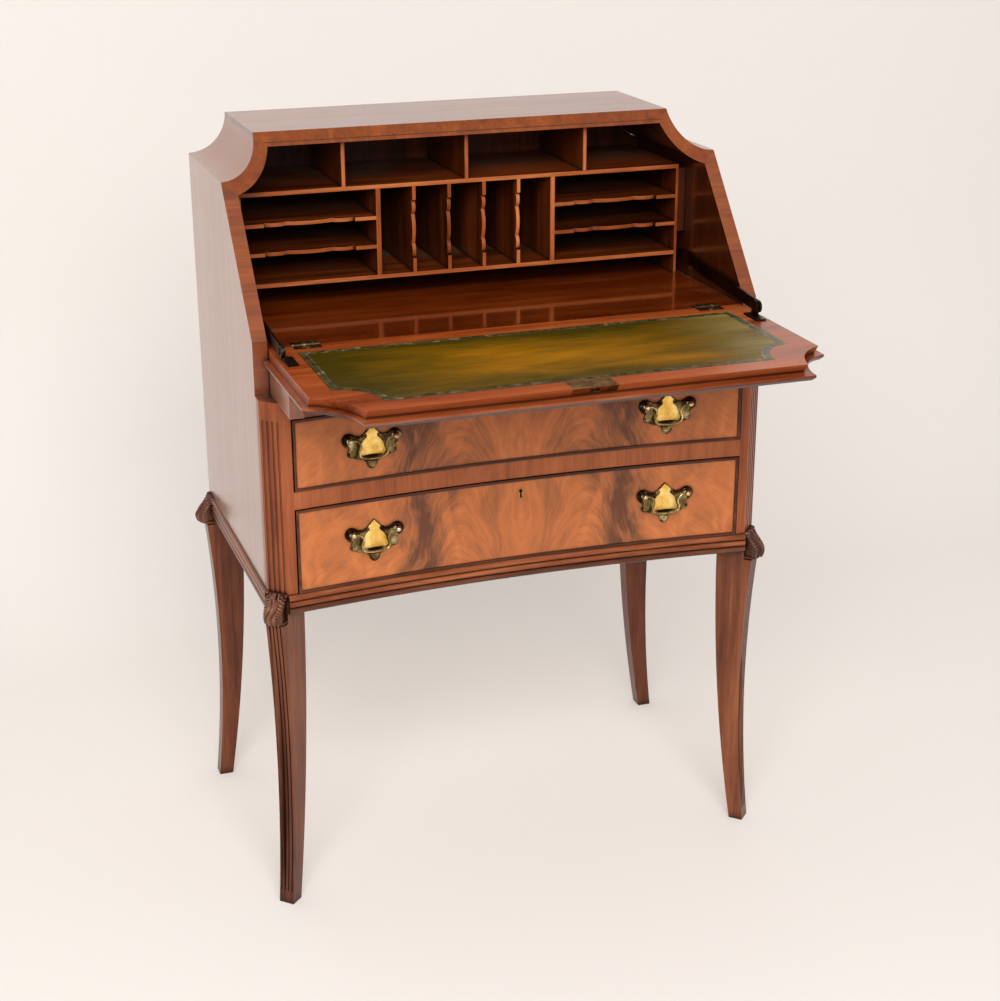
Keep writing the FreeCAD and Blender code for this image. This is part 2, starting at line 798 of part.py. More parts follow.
def drawer_bolt(grow, throw):
    """Bolt of the lower drawer's lock, moved up by a throw."""
    half = drawer_bolt_width / 2 + grow
    middle = front_inside + drawer_lock_thick / 2
    top = lower_opening_top - drawer_top_gap - bolt_gap + throw
    return board(-half, half, middle - drawer_bolt_thick / 2 - grow, middle + drawer_bolt_thick / 2 + grow,
                 top - drawer_bolt_length - grow, top + grow)


def keyhole():
    """Round eye with a slot below it, through the lower drawer front."""
    z = lower_opening_top - keyhole_drop
    start = lower_front
    depth = 2 * (front_hollow + front_thick)
    eye = rod(keyhole_radius, depth, V(0, start, z), V(0, 1, 0))
    slot = board(-keyhole_radius / 2, keyhole_radius / 2, start, start + depth, z - keyhole_slot, z)
    return eye.fuse(slot)


def make_drawer(parts, name, low, high):
    """Hollow front, cock bead and box of one drawer."""
    half = opening_half - drawer_side_gap
    z0 = low + seat_gap
    z1 = high - drawer_top_gap
    ring = hollow_band(hollow_radius - bead_proud, hollow_radius + bead_depth, half, z0, z1)
    inner = board(-half + bead_width, half - bead_width, lower_front - front_hollow, back_y,
                  z0 + bead_width, z1 - bead_width)
    bead = ring.cut(inner)
    front = hollow_board(hollow_radius, front_inside, half, z0, z1).cut(bead)
    parts["cock_bead_" + name] = bead
    parts["drawer_front_" + name] = front

    box_back = back_inside - box_back_gap
    box_top = z1 - box_top_drop
    side = board(-half, -half + box_side_thick, front_inside, box_back, z0, box_top)
    back = board(-half + box_side_thick, half - box_side_thick, box_back - box_side_thick, box_back,
                 z0 + box_bottom_rise, box_top)
    bottom = board(-half + box_side_thick, half - box_side_thick, front_inside, box_back - box_side_thick,
                   z0 + box_bottom_rise, z0 + box_bottom_rise + box_bottom_thick)
    parts["drawer_box_" + name] = group([side, mirrored(side), back, bottom])


def make_drawers(parts):
    """Both drawers, and the lock of the lower one."""
    make_drawer(parts, "upper", upper_opening_bottom, upper_opening_top)
    make_drawer(parts, "lower", waist_top, lower_opening_top)
    parts["drawer_front_lower"] = parts["drawer_front_lower"].cut(keyhole())
    top = lower_opening_top - drawer_top_gap
    case = board(-drawer_lock_width / 2, drawer_lock_width / 2,
                 front_inside, front_inside + drawer_lock_thick, top - drawer_lock_height, top)
    case = case.cut(keyhole())
    parts["drawer_lock"] = case.cut(drawer_bolt(bolt_gap, drawer_bolt_throw)).cut(drawer_bolt(bolt_gap, 0))
    parts["drawer_lock_bolt"] = drawer_bolt(0, 0)


def plate_outline():
    """Bat-wing backplate in the front view, with its posts level with the origin."""
    def at(x, z):
        return V(x * plate_half_width, 0, z * (plate_crown if z > 0 else plate_foot))
    tip = at(0, 1)
    right = [
        at(0.08, 0.68), at(0.12, 0.63), at(0.175, 0.39), at(0.215, 0.34), at(0.235, 0.08),
        at(0.255, -0.07), at(0.32, -0.09), at(0.36, -0.02), at(0.38, 0.06),
        at(0.54, 0.20), at(0.65, 0.39), (at(0.89, 0.44), at(1, 0)),
        at(0.975, -0.13), at(0.86, -0.26), at(0.785, -0.30), at(0.765, -0.37),
        at(0.835, -0.425), at(0.79, -0.53), at(0.66, -0.58), at(0.49, -0.665),
        at(0.295, -0.70), at(0.18, -0.79), (at(0.145, -0.91), at(0, -1)),
    ]
    ends = [tip]
    for step in right:
        ends.append(step[1] if isinstance(step, tuple) else step)
    left = []
    for i in range(len(right) - 1, -1, -1):
        goal = V(-ends[i].x, 0, ends[i].z)
        if isinstance(right[i], tuple):
            left.append((V(-right[i][0].x, 0, right[i][0].z), goal))
        else:
            left.append(goal)
    return outline(tip, *right, *left)


def eight_sided(radius, length, start, along):
    """Straight bar with eight flat sides, from a point along an axis."""
    reach = radius / math.cos(math.pi / 8)
    turn = FreeCAD.Rotation(V(1, 0, 0), along)
    corners = []
    for i in range(8):
        angle = (i + 0.5) * math.pi / 4
        corners.append(start + turn.multVec(V(0, reach * math.cos(angle), reach * math.sin(angle))))
    return prism(corners, along * length)


def post_ball(centre):
    """Ball head of a post with flat facets, made where three eight-sided bars cross."""
    bars = []
    for axis in (V(1, 0, 0), V(0, 1, 0), V(0, 0, 1)):
        end = centre - axis * post_ball_radius
        bars.append(eight_sided(post_ball_radius, 2 * post_ball_radius, end, axis))
    return bars[0].common(bars[1]).common(bars[2])


def handle_plate():
    """Backplate with its two ball-headed posts, back face at Y 0 and front towards -Y."""
    plate = plate_outline().extrude(V(0, -plate_thick, 0))
    for side in (-1, 1):
        centre = V(side * post_spacing / 2, -post_reach, 0)
        post = eight_sided(post_radius, post_reach, centre + V(0, post_reach, 0), V(0, -1, 0))
        bore = eight_sided(bail_pivot_radius + running_gap, post_ball_radius, centre, V(-side, 0, 0))
        plate = plate.fuse([post, post_ball(centre)]).cut(bore)
    return plate.removeSplitter()


def bail_bend(centre, radius, start, turn):
    """Stretch of faceted bar bent about a centre, from a start angle through a turn."""
    point = centre + V(radius * math.cos(start), 0, radius * math.sin(start))
    heading = V(-math.sin(start), 0, math.cos(start))
    corner = point + V(0, bail_radius, 0)
    corners = []
    for i in range(bail_sides + 1):
        spoke = FreeCAD.Rotation(heading, (i + 0.5) * 360 / bail_sides).multVec(corner - point)
        corners.append(point + spoke)
    axis = V(0, -math.copysign(1, turn), 0)
    return Part.Face(Part.makePolygon(corners)).revolve(centre, axis, math.degrees(abs(turn)))


def bail_shape():
    """Swan-neck bail: necks that curl in from the posts, rounded corners and a sagging bottom."""
    neck_turn = math.radians(bail_neck_turn)
    sag_angle = math.radians(bail_sag_angle)
    corner_start = 1.5 * math.pi - neck_turn
    sag_start = 1.5 * math.pi - sag_angle

    def step(centre, radius, angle):
        return centre + V(radius * math.cos(angle), 0, radius * math.sin(angle))
    shoulder = V(-post_spacing / 2 + post_ball_radius + bail_side_gap, -post_reach, 0)
    neck = shoulder - V(0, 0, bail_neck_radius)
    corner = step(neck, bail_neck_radius + bail_corner_radius, corner_start - math.pi)
    corner_end = step(corner, bail_corner_radius, sag_start)
    sag_radius = corner_end.x / math.cos(sag_start)
    sag = step(corner_end, sag_radius, sag_start - math.pi)
    left = rod(bail_pivot_radius, post_ball_radius, shoulder, V(-1, 0, 0)).fuse([
        bail_bend(neck, bail_neck_radius, math.pi / 2, -neck_turn),
        bail_bend(corner, bail_corner_radius, corner_start, sag_start - corner_start),
        bail_bend(sag, sag_radius, sag_start, sag_angle),
    ])
    return left.fuse(mirrored(left)).removeSplitter()


def placed_handle(shape, side, post_z):
    """Put a handle piece on the hollow drawer front."""
    tilt = math.asin(handle_place / hollow_radius)
    lift = plate_half_width ** 2 / (2 * hollow_radius) + running_gap
    placed = shape.copy()
    placed.translate(V(0, hollow_radius - lift, post_z))
    placed.rotate(V(0, 0, 0), V(0, 0, 1), -side * math.degrees(tilt))
    placed.translate(V(0, hollow_centre, 0))
    return placed


def make_handles(parts):
    """Backplates and bails of both drawers."""
    plate = handle_plate()
    bail = bail_shape()
    rows = (("upper", upper_opening_bottom, upper_opening_top), ("lower", waist_top, lower_opening_top))
    for name, low, high in rows:
        post_z = low + handle_share * (high - low)
        parts["handle_plates_" + name] = group([placed_handle(plate, side, post_z) for side in (-1, 1)])
        for side, hand in ((-1, "left"), (1, "right")):
            parts["bail_" + name + "_" + hand] = placed_handle(bail, side, post_z)


def main():
    """Build every piece and write it to its own file."""
    parts = {}
    make_carcase(parts)
    make_stiles(parts)
    make_waist(parts)
    make_legs(parts)
    make_pigeonholes(parts)
    make_fall(parts)
    make_hinges(parts)
    make_stays(parts)
    make_lopers(parts)
    make_drawers(parts)
    make_handles(parts)
    os.makedirs("parts", exist_ok=True)
    for name, shape in parts.items():
        shape.exportStep("parts/" + name + ".step")
    print(len(parts), "pieces; hinge line at", round(hinge_y, 2), "back at", round(back_y, 2))


main()
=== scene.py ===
"""Looks of a fall-front writing bureau, in metres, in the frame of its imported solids."""
import cmath
import json
import math

import bmesh
import bpy
from mathutils import Matrix, Vector


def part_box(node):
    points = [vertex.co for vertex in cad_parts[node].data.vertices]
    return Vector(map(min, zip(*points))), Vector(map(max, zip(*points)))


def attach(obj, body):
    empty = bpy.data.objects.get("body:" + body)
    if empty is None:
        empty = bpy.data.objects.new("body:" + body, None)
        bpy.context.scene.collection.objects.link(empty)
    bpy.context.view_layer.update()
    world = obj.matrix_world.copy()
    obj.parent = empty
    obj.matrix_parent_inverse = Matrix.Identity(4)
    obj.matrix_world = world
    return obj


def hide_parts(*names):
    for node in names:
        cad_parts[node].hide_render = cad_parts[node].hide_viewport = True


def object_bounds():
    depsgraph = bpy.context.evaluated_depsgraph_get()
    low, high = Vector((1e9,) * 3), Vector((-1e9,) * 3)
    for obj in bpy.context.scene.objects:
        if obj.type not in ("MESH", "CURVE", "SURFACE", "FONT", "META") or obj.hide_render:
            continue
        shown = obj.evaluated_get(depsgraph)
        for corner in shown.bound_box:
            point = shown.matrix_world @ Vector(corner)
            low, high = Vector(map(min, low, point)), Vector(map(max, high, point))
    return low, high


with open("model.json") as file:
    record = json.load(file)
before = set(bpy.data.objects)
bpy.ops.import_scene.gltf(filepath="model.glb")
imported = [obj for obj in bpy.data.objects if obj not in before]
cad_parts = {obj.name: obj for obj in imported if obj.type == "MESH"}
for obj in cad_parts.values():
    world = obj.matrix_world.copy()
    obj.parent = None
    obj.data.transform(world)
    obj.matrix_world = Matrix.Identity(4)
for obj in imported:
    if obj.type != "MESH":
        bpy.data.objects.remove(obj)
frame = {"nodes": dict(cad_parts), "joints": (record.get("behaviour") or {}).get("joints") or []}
cad_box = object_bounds()
nodes = frame["nodes"]
joints = {joint["name"]: joint for joint in frame["joints"]}
mm = 0.001
full_turn = 2 * math.pi
quarter_turn = math.pi / 2

# Camera at the photograph's place
camera_place = Vector((-0.78454, -2.23472, 1.40525))
camera_azimuth = math.radians(-19.19)
camera_elevation = math.radians(20.65)
camera_roll = math.radians(-0.13)
camera_lens = 66.906

# Lengths read from the photograph: figure of the veneer, slope, lip, rails and seams
dome_place = 88.0 * mm
plume_place = 150.0 * mm
veneer_sway = 55.0 * mm
veneer_ripple = 18.0 * mm
slope_break = 778.7 * mm
lip_height = 7.0 * mm
rail_foot_height = 9.0 * mm
strip_height = 12.5 * mm
mitre_inset = 0.2 * mm
pale_line_inset = 2.2 * mm

# Places read from the solids
bed_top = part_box("writing_bed")[1].z
hinge_y = joints["fall_hinge"]["pos_m"][1]
leather_low, leather_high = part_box("fall_leather")
leather_half = leather_high.x
case_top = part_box("top_panel")[1].z
top_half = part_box("top_panel")[1].x
case_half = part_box("gable_right")[1].x
bed_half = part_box("gable_right")[0].x
rail_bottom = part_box("waist_rail_front")[0].z
scoop_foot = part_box("scoop_corner_right")[0].z
shelf_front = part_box("upper_shelf")[0].y
shelf_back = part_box("upper_shelf")[1].y
lip_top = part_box("fall_board")[0].z + lip_height

# Colours as seen on screen, and small lengths, that several materials share
# Dark of corners and crevices: grime and painted shade
grime_and_shade = (24, 10, 5)
metal_grime_and_shade = (34, 24, 14)
dust_colour = (128, 112, 100)
dark_line = (35, 18, 12)
edge_round = 0.9 * mm
metal_round = 0.4 * mm
pore_depth = 0.12 * mm
leaf_pitch = 7.2 * mm


def shade(red, green, blue):
    """Colour as seen on screen, from 0 to 255, turned into light."""
    light = []
    for value in (red, green, blue):
        value = value / 255
        light.append(value / 12.92 if value < 0.04045 else ((value + 0.055) / 1.055) ** 2.4)
    return (*light, 1.0)


class Field:
    """Output of a material's node, for arithmetic with numbers and other outputs."""

    def __init__(self, look, socket):
        self.look = look
        self.socket = socket

    def __add__(self, other):
        return self.look.calculate("ADD", self, other)

    def __sub__(self, other):
        return self.look.calculate("SUBTRACT", self, other)

    def __mul__(self, other):
        return self.look.calculate("MULTIPLY", self, other)

    def __abs__(self):
        return self.look.calculate("ABSOLUTE", self)


class Look:
    """A material drawn as nodes, in the resting place of the piece that it covers."""

    def __init__(self, name):
        self.material = bpy.data.materials.new(name)
        self.material.use_nodes = True
        self.tree = self.material.node_tree
        self.shader = self.tree.nodes["Principled BSDF"]
        surface = self.tree.nodes.new("ShaderNodeTexCoord")
        self.place = Field(self, surface.outputs["Object"])
        self.facing = Field(self, surface.outputs["Normal"])
        self.strip = Field(self, surface.outputs["UV"])

    def put(self, socket, value):
        """Link an output to a socket, or set the socket to a number, a vector or a screen colour."""
        if isinstance(value, Field):
            self.tree.links.new(value.socket, socket)
        else:
            socket.default_value = shade(*value) if socket.type == "RGBA" else value

    def node(self, kind, inputs, out=0, **settings):
        """New node with its settings and inputs; gives one of its outputs."""
        made = self.tree.nodes.new("ShaderNode" + kind)
        for key, value in settings.items():
            setattr(made, key, value)
        for key, value in inputs.items():
            self.put(made.inputs[key], value)
        return Field(self, made.outputs[out])

    def calculate(self, operation, first, second=0.0, third=0.0):
        return self.node("Math", {0: first, 1: second, 2: third}, operation=operation)

    def larger(self, first, second):
        return self.calculate("MAXIMUM", first, second)

    def split(self, vector):
        made = self.tree.nodes.new("ShaderNodeSeparateXYZ")
        self.put(made.inputs[0], vector)
        return [Field(self, output) for output in made.outputs]

    def point(self, x, y, z):
        return self.node("CombineXYZ", {0: x, 1: y, 2: z})

    def stretch(self, vector, factors):
        return self.node("VectorMath", {0: vector, 1: factors}, operation="MULTIPLY")

    def noise(self, vector, scale, detail, distortion=0.0):
        return self.node("TexNoise", {"Vector": vector, "Scale": scale, "Detail": detail,
                                      "Roughness": 0.55, "Distortion": distortion})

    def step(self, value, low, high, start=0.0, end=1.0):
        """Smooth change from start to end while the value runs from low to high."""
        return self.node("MapRange", {"Value": value, "From Min": low, "From Max": high,
                                      "To Min": start, "To Max": end}, interpolation_type="SMOOTHSTEP")

    def below(self, value, low, high):
        """1 up to low, 0 from high on."""
        return self.step(value, low, high, 1.0, 0.0)

    def ramp(self, value, *stops):
        """Colours between stops, which are (value, screen colour)."""
        made = self.tree.nodes.new("ShaderNodeValToRGB")
        self.put(made.inputs[0], value)
        elements = made.color_ramp.elements
        while len(elements) < len(stops):
            elements.new(0.5)
        for element, (position, colour) in zip(elements, stops):
            element.position = position
            element.color = shade(*colour)
        return Field(self, made.outputs[0])

    def mix(self, share, first, second, blend="MIX"):
        return self.node("Mix", {0: share, 6: first, 7: second}, 2, data_type="RGBA", blend_type=blend)

    def crevice(self, distance):
        """1 in tight corners, 0 in the open."""
        open_share = self.node("AmbientOcclusion", {"Distance": distance}, "AO", samples=6)
        return self.below(open_share, 0.40, 0.92)

    def soft_edges(self, radius):
        """Normal with edges rounded by a radius, and a mask that is 1 along them."""
        rounded = self.node("Bevel", {"Radius": radius}, samples=4)
        flat = self.node("NewGeometry", {}, "True Normal")
        turn = self.node("VectorMath", {0: rounded, 1: flat}, "Value", operation="DOT_PRODUCT")
        return rounded, self.below(turn, 0.80, 0.99)

    def bump(self, height, depth, normal=None):
        inputs = {"Height": height, "Distance": depth, "Strength": 1.0}
        if normal is not None:
            inputs["Normal"] = normal
        return self.node("Bump", inputs)

    def cover(self, colour, roughness, normal, coat=0.0, coat_roughness=0.15, metallic=0.0, bend=1.5):
        """Connect the finished colour, roughness and normal, and set the even values."""
        values = {"Base Color": colour, "Roughness": roughness, "Normal": normal, "Metallic": metallic,
                  "Coat Weight": coat, "Coat Roughness": coat_roughness, "IOR": bend, "Coat IOR": bend}
        for key, value in values.items():
            self.put(self.shader.inputs[key], value)
        return self.material


def grain(look, along, fineness=1.0, shift=0.0):
    """Light and dark of wood whose fibres run along an axis, and its pores."""
    squeeze = [1.0, 1.0, 1.0]
    squeeze["xyz".index(along)] = 0.07
    moved = look.node("VectorMath", {0: look.place, 1: (shift, shift, shift)}, operation="ADD")
    fibres = look.stretch(moved, squeeze)
    figure = look.noise(fibres, 16 * fineness, 3.0, 0.9)
    streak = look.noise(fibres, 95 * fineness, 5.0, 0.3)
    fine = look.noise(fibres, 330 * fineness, 3.0)
    pores = look.noise(fibres, 900 * fineness, 2.0)
    return figure * 0.5 + (streak * 0.3 + fine * 0.2), pores


def tinted(look, tone, tones, calm=1.0):
    """Deep, middle and pale tones of a wood; a calm wood keeps nearer to its middle one."""
    spread = 0.14 * calm
    return look.ramp(tone, (0.5 - spread, tones[0]), (0.5, tones[1]), (0.5 + spread, tones[2]))


def wood(name, tones, along, coat=0.3, polish=0.34, calm=1.0, front=None, band=None, inside=None, rim=None,
         under=None, base=None, foot=None, seams=(), shift=0.0, fineness=1.0, dust=0.0, grime_and_shade_share=0.85,
         hollow=0.008, wear=0.3, bend=1.3, gloss=0.16):
    """Polished wood whose fibres run along an axis.

    Front edges may have their own tones and grain (front, band), as may the faces that look inwards
    (inside), the standing faces of a lying board (rim), its flat underside (base), the faces that look
    down (under) and the edges that lie below a height (foot). As used here, the inside and under tones
    and the fall's lip tones are painted shade, and the pigeonholes' front tones are painted light.
    """
    look = Look(name)
    deep, middle, pale = tones
    tone, pores = grain(look, along, fineness, shift)
    colour = tinted(look, tone, tones, calm)
    x, y, z = look.split(look.place)
    nx, ny, nz = look.split(look.facing)
    if inside:
        # Faces that look inwards take the inside tones: painted shade in the gables
        inward = look.below(look.calculate("SIGN", x) * nx, -0.6, -0.2)
        colour = look.mix(inward, colour, tinted(look, tone, inside, calm))
    if rim:
        standing = look.below(abs(nz), 0.75, 0.90)
        colour = look.mix(standing, colour, tinted(look, tone, rim, calm))
    if front:
        edge_tone = grain(look, band, 3.2, shift + 3.0)[0] if band else tone
        forward = look.step(ny * -1.0, 0.25, 0.45)
        colour = look.mix(forward, colour, tinted(look, edge_tone, front, 1.5 if band else 1.0))
    if base:
        colour = look.mix(look.below(nz, -0.98, -0.90), colour, tinted(look, tone, base, 1.6))
    low = 1.0
    if foot:
        height, foot_tones = foot
        low = look.below(z, height - 0.5 * mm, height + 0.5 * mm) * look.step(nz, -0.98, -0.90)
        colour = look.mix(low, colour, tinted(look, tone, foot_tones, calm))
    if under:
        # Faces that look down take the under tones: painted shade
        down = look.below(nz, -0.6, -0.3) * low
        colour = look.mix(down, colour, tinted(look, tone, under, calm))
    colour = look.mix(look.step(pores, 0.58, 0.72, 0.0, 0.3), colour, deep)
    blotch = look.noise(look.place, 7.0, 2.0)
    colour = look.mix(look.step(blotch, 0.35, 0.65, 0.0, 0.2), colour, middle, "MULTIPLY")
    for axis, place, on_front, line_colour in seams:
        offset = abs(x if axis == "x" else z) - place
        line = look.step(abs(offset), 0.2 * mm, 0.9 * mm, 0.75, 0.0)
        faces = (look.below if on_front else look.step)(ny, -0.5, -0.2)
        colour = look.mix(line * faces, colour, line_colour)
    normal, edge = look.soft_edges(edge_round)
    scratched = look.noise(look.place, 60.0, 4.0)
    colour = look.mix(edge * look.step(scratched, 0.45, 0.65, 0.0, wear), colour, pale)
    # Tight corners and grooves darken with grime and painted shade
    colour = look.mix(look.crevice(hollow) * grime_and_shade_share, colour, grime_and_shade)
    roughness = look.step(tone, 0.4, 0.6, polish - 0.05, polish + 0.06)
    if dust:
        lying = look.step(nz, 0.5, 0.9)
        deep_in = look.step(y, shelf_front + 35 * mm, shelf_back - 30 * mm)
        cloud = look.step(look.noise(look.place, 14.0, 4.0), 0.35, 0.7)
        film = lying * deep_in * (cloud * dust)
        colour = look.mix(film, colour, dust_colour)
        roughness = roughness + film * 0.4
    normal = look.bump(pores + tone * 0.5, pore_depth, normal)
    return look.cover(colour, roughness, normal, coat, gloss, bend=bend)


def flame_veneer(name):
    """Book-matched crotch figure: a fountain of arching barbs and a smoky plume on each side."""
    look = Look(name)
    x, _, z = look.split(look.place)
    sway = look.noise(look.place, 8.0, 3.0) - 0.5
    ripple = look.noise(look.place, 46.0, 3.0) - 0.5
    side = abs(x) + sway * veneer_sway
    offset = side - dome_place
    arch = offset * offset * 38.0
    slope = abs(offset) * 0.75 + 0.15
    rise = z + look.calculate("SMOOTH_MIN", arch, slope, 0.06) + ripple * veneer_ripple
    barbs = look.noise(look.point(rise * 90.0, 0.0, offset * 30.0), 1.0, 6.0, 0.9)
    hairs = look.noise(look.point(rise * 430.0, 3.0, offset * 60.0), 1.0, 3.0, 0.3)
    upright = look.noise(look.point(side * 170.0, 5.0, z * 16.0), 1.0, 5.0, 0.6)
    clouds = look.noise(look.point(side * 24.0, 8.0, z * 10.0), 1.0, 4.0, 1.2)
    plume_start = look.step(side, plume_place - 70 * mm, plume_place - 8 * mm)
    plume = plume_start * look.below(side, plume_place + 4 * mm, plume_place + 44 * mm)
    dome = look.below(abs(offset), 0.03, 0.09)
    heart = look.below(side, 0.01, 0.05)
    figure = barbs + heart * (upright - barbs)
    contrast = look.larger(dome, plume) * 0.17 + 0.15
    tone = (figure - 0.5) * contrast + 0.5
    tone = tone + (hairs - 0.5) * 0.17 + (clouds - 0.5) * 0.38
    smoke = look.below(clouds, 0.34, 0.60)
    dimmed = plume * (smoke * 0.10 + 0.075) + dome * 0.03
    tone = tone - dimmed + heart * 0.03
    colour = look.ramp(tone, (0.28, (100, 59, 38)), (0.41, (146, 87, 53)), (0.52, (184, 106, 58)),
                       (0.66, (206, 128, 76)))
    normal = look.soft_edges(0.6 * mm)[0]
    # Tight corners darken with grime and painted shade
    colour = look.mix(look.crevice(6 * mm) * 0.7, colour, grime_and_shade)
    roughness = look.step(look.noise(look.place, 20.0, 4.0), 0.3, 0.7, 0.30, 0.44)
    return look.cover(colour, roughness, look.bump(hairs, pore_depth / 2, normal), 0.3, 0.18, bend=1.3)


def bead_wood(name):
    """Dark stained cock bead, rubbed paler along its round with a painted highlight, and with painted shade
    in its crevices.
    """
    look = Look(name)
    tone, pores = grain(look, "x", 2.0)
    colour = tinted(look, tone, ((40, 17, 8), (74, 35, 18), (108, 56, 31)))
    normal, edge = look.soft_edges(0.8 * mm)
    # Paler round: rubbing and a painted highlight
    colour = look.mix(edge * 0.35, colour, (132, 74, 42))
    # Crevices darken with grime and painted shade
    colour = look.mix(look.crevice(6 * mm), colour, (20, 8, 4))
    roughness = look.step(tone, 0.3, 0.7, 0.28, 0.42)
    return look.cover(colour, roughness, look.bump(pores, 0.08 * mm, normal), 0.3, 0.2, bend=1.3)


def leather(name):
    """Green skiver whose middle has gone amber as it fades, with a fine pebbled grain and a painted sheen
    towards its right end.
    """
    look = Look(name)
    x, y, _ = look.split(look.place)
    half_y = (leather_high.y - leather_low.y) / 2
    middle_y = leather_low.y + 0.92 * half_y
    across = abs(x - 0.02) * (1 / leather_half)
    along = abs(y - middle_y) * (1 / half_y)
    rim = look.larger(across, along * 0.95)
    clouds = look.noise(look.stretch(look.place, (5.0, 17.0, 1.0)), 1.0, 5.0, 0.8)
    smears = look.noise(look.stretch(look.place, (14.0, 80.0, 1.0)), 1.0, 5.0, 0.3)
    fade = rim + (clouds * 0.95 + smears * 0.45)
    colour = look.ramp(fade * 0.5, (0.38, (168, 110, 6)), (0.50, (142, 94, 2)), (0.62, (108, 77, 0)),
                       (0.79, (64, 54, 0)))
    # Pale grey-green patch towards the right end: a painted sheen
    painted_sheen = look.step(x, 0.16, 0.31, 0.0, 0.9) * look.step(clouds, 0.2, 0.6)
    colour = look.mix(painted_sheen, colour, (146, 126, 68))
    spots = look.noise(look.place, 130.0, 3.0)
    colour = look.mix(look.step(spots, 0.60, 0.76, 0.0, 0.45), colour, (46, 40, 6))
    pebble = look.node("TexVoronoi", {"Vector": look.place, "Scale": 620.0}, "Distance")
    folds = look.noise(look.place, 210.0, 3.0)
    relief = look.bump(pebble * 0.6 + folds * 0.4, 0.12 * mm)
    return look.cover(colour, look.step(smears, 0.3, 0.7, 0.32, 0.46), relief, bend=1.2)


def tooled_border(name, width):
    """Blind-tooled band: fine dark rules along it, with a chain of stamped leaves on its middle."""
    look = Look(name)
    run, side, _ = look.split(look.strip)
    share = side * (1 / width)
    phase = look.calculate("PINGPONG", run * (1 / leaf_pitch), 0.5)
    stamped = look.below(abs(share - 0.5) - phase * 0.40, -0.05, 0.02)
    rule = look.below(look.calculate("PINGPONG", share * 5.0, 0.5), 0.08, 0.20)
    tooling = look.larger(stamped, rule)
    rub = look.noise(look.place, 90.0, 4.0)
    ground = look.ramp(rub, (0.38, (66, 58, 26)), (0.56, (98, 88, 50)), (0.70, (156, 146, 116)))
    pressed = look.ramp(rub, (0.40, (20, 18, 10)), (0.66, (64, 54, 30)))
    colour = look.mix(tooling * 0.85, ground, pressed)
    relief = look.bump(look.noise(look.place, 400.0, 2.0) * 0.3 - tooling, 0.25 * mm)
    return look.cover(colour, look.step(rub, 0.3, 0.7, 0.24, 0.42), relief, 0.2, 0.25, bend=1.4)


def metal(name, colours, polish, grime_and_shade_share=0.75, edges=0.5):
    """Aged metal: darkened in its hollows by patina and painted shade, cloudy on its faces, rubbed bright
    along its edges with a painted highlight.
    """
    look = Look(name)
    deep, middle, bright = colours
    clouds = look.noise(look.place, 55.0, 5.0, 0.4)
    specks = look.noise(look.place, 420.0, 3.0)
    colour = look.ramp(clouds * 0.75 + specks * 0.25, (0.34, deep), (0.50, middle), (0.62, bright))
    normal, edge = look.soft_edges(metal_round)
    # Edges: rubbed bright, and a painted highlight
    colour = look.mix(edge * edges, colour, bright)
    # Hollows darken with patina and painted shade
    colour = look.mix(look.crevice(4 * mm) * grime_and_shade_share, colour, metal_grime_and_shade)
    roughness = look.step(clouds, 0.3, 0.7, polish + 0.12, polish) + specks * 0.08
    scratches = look.noise(look.stretch(look.place, (900.0, 900.0, 120.0)), 1.0, 2.0)
    normal = look.bump(scratches + clouds, 0.06 * mm, normal)
    return look.cover(colour, roughness, normal, metallic=1.0)


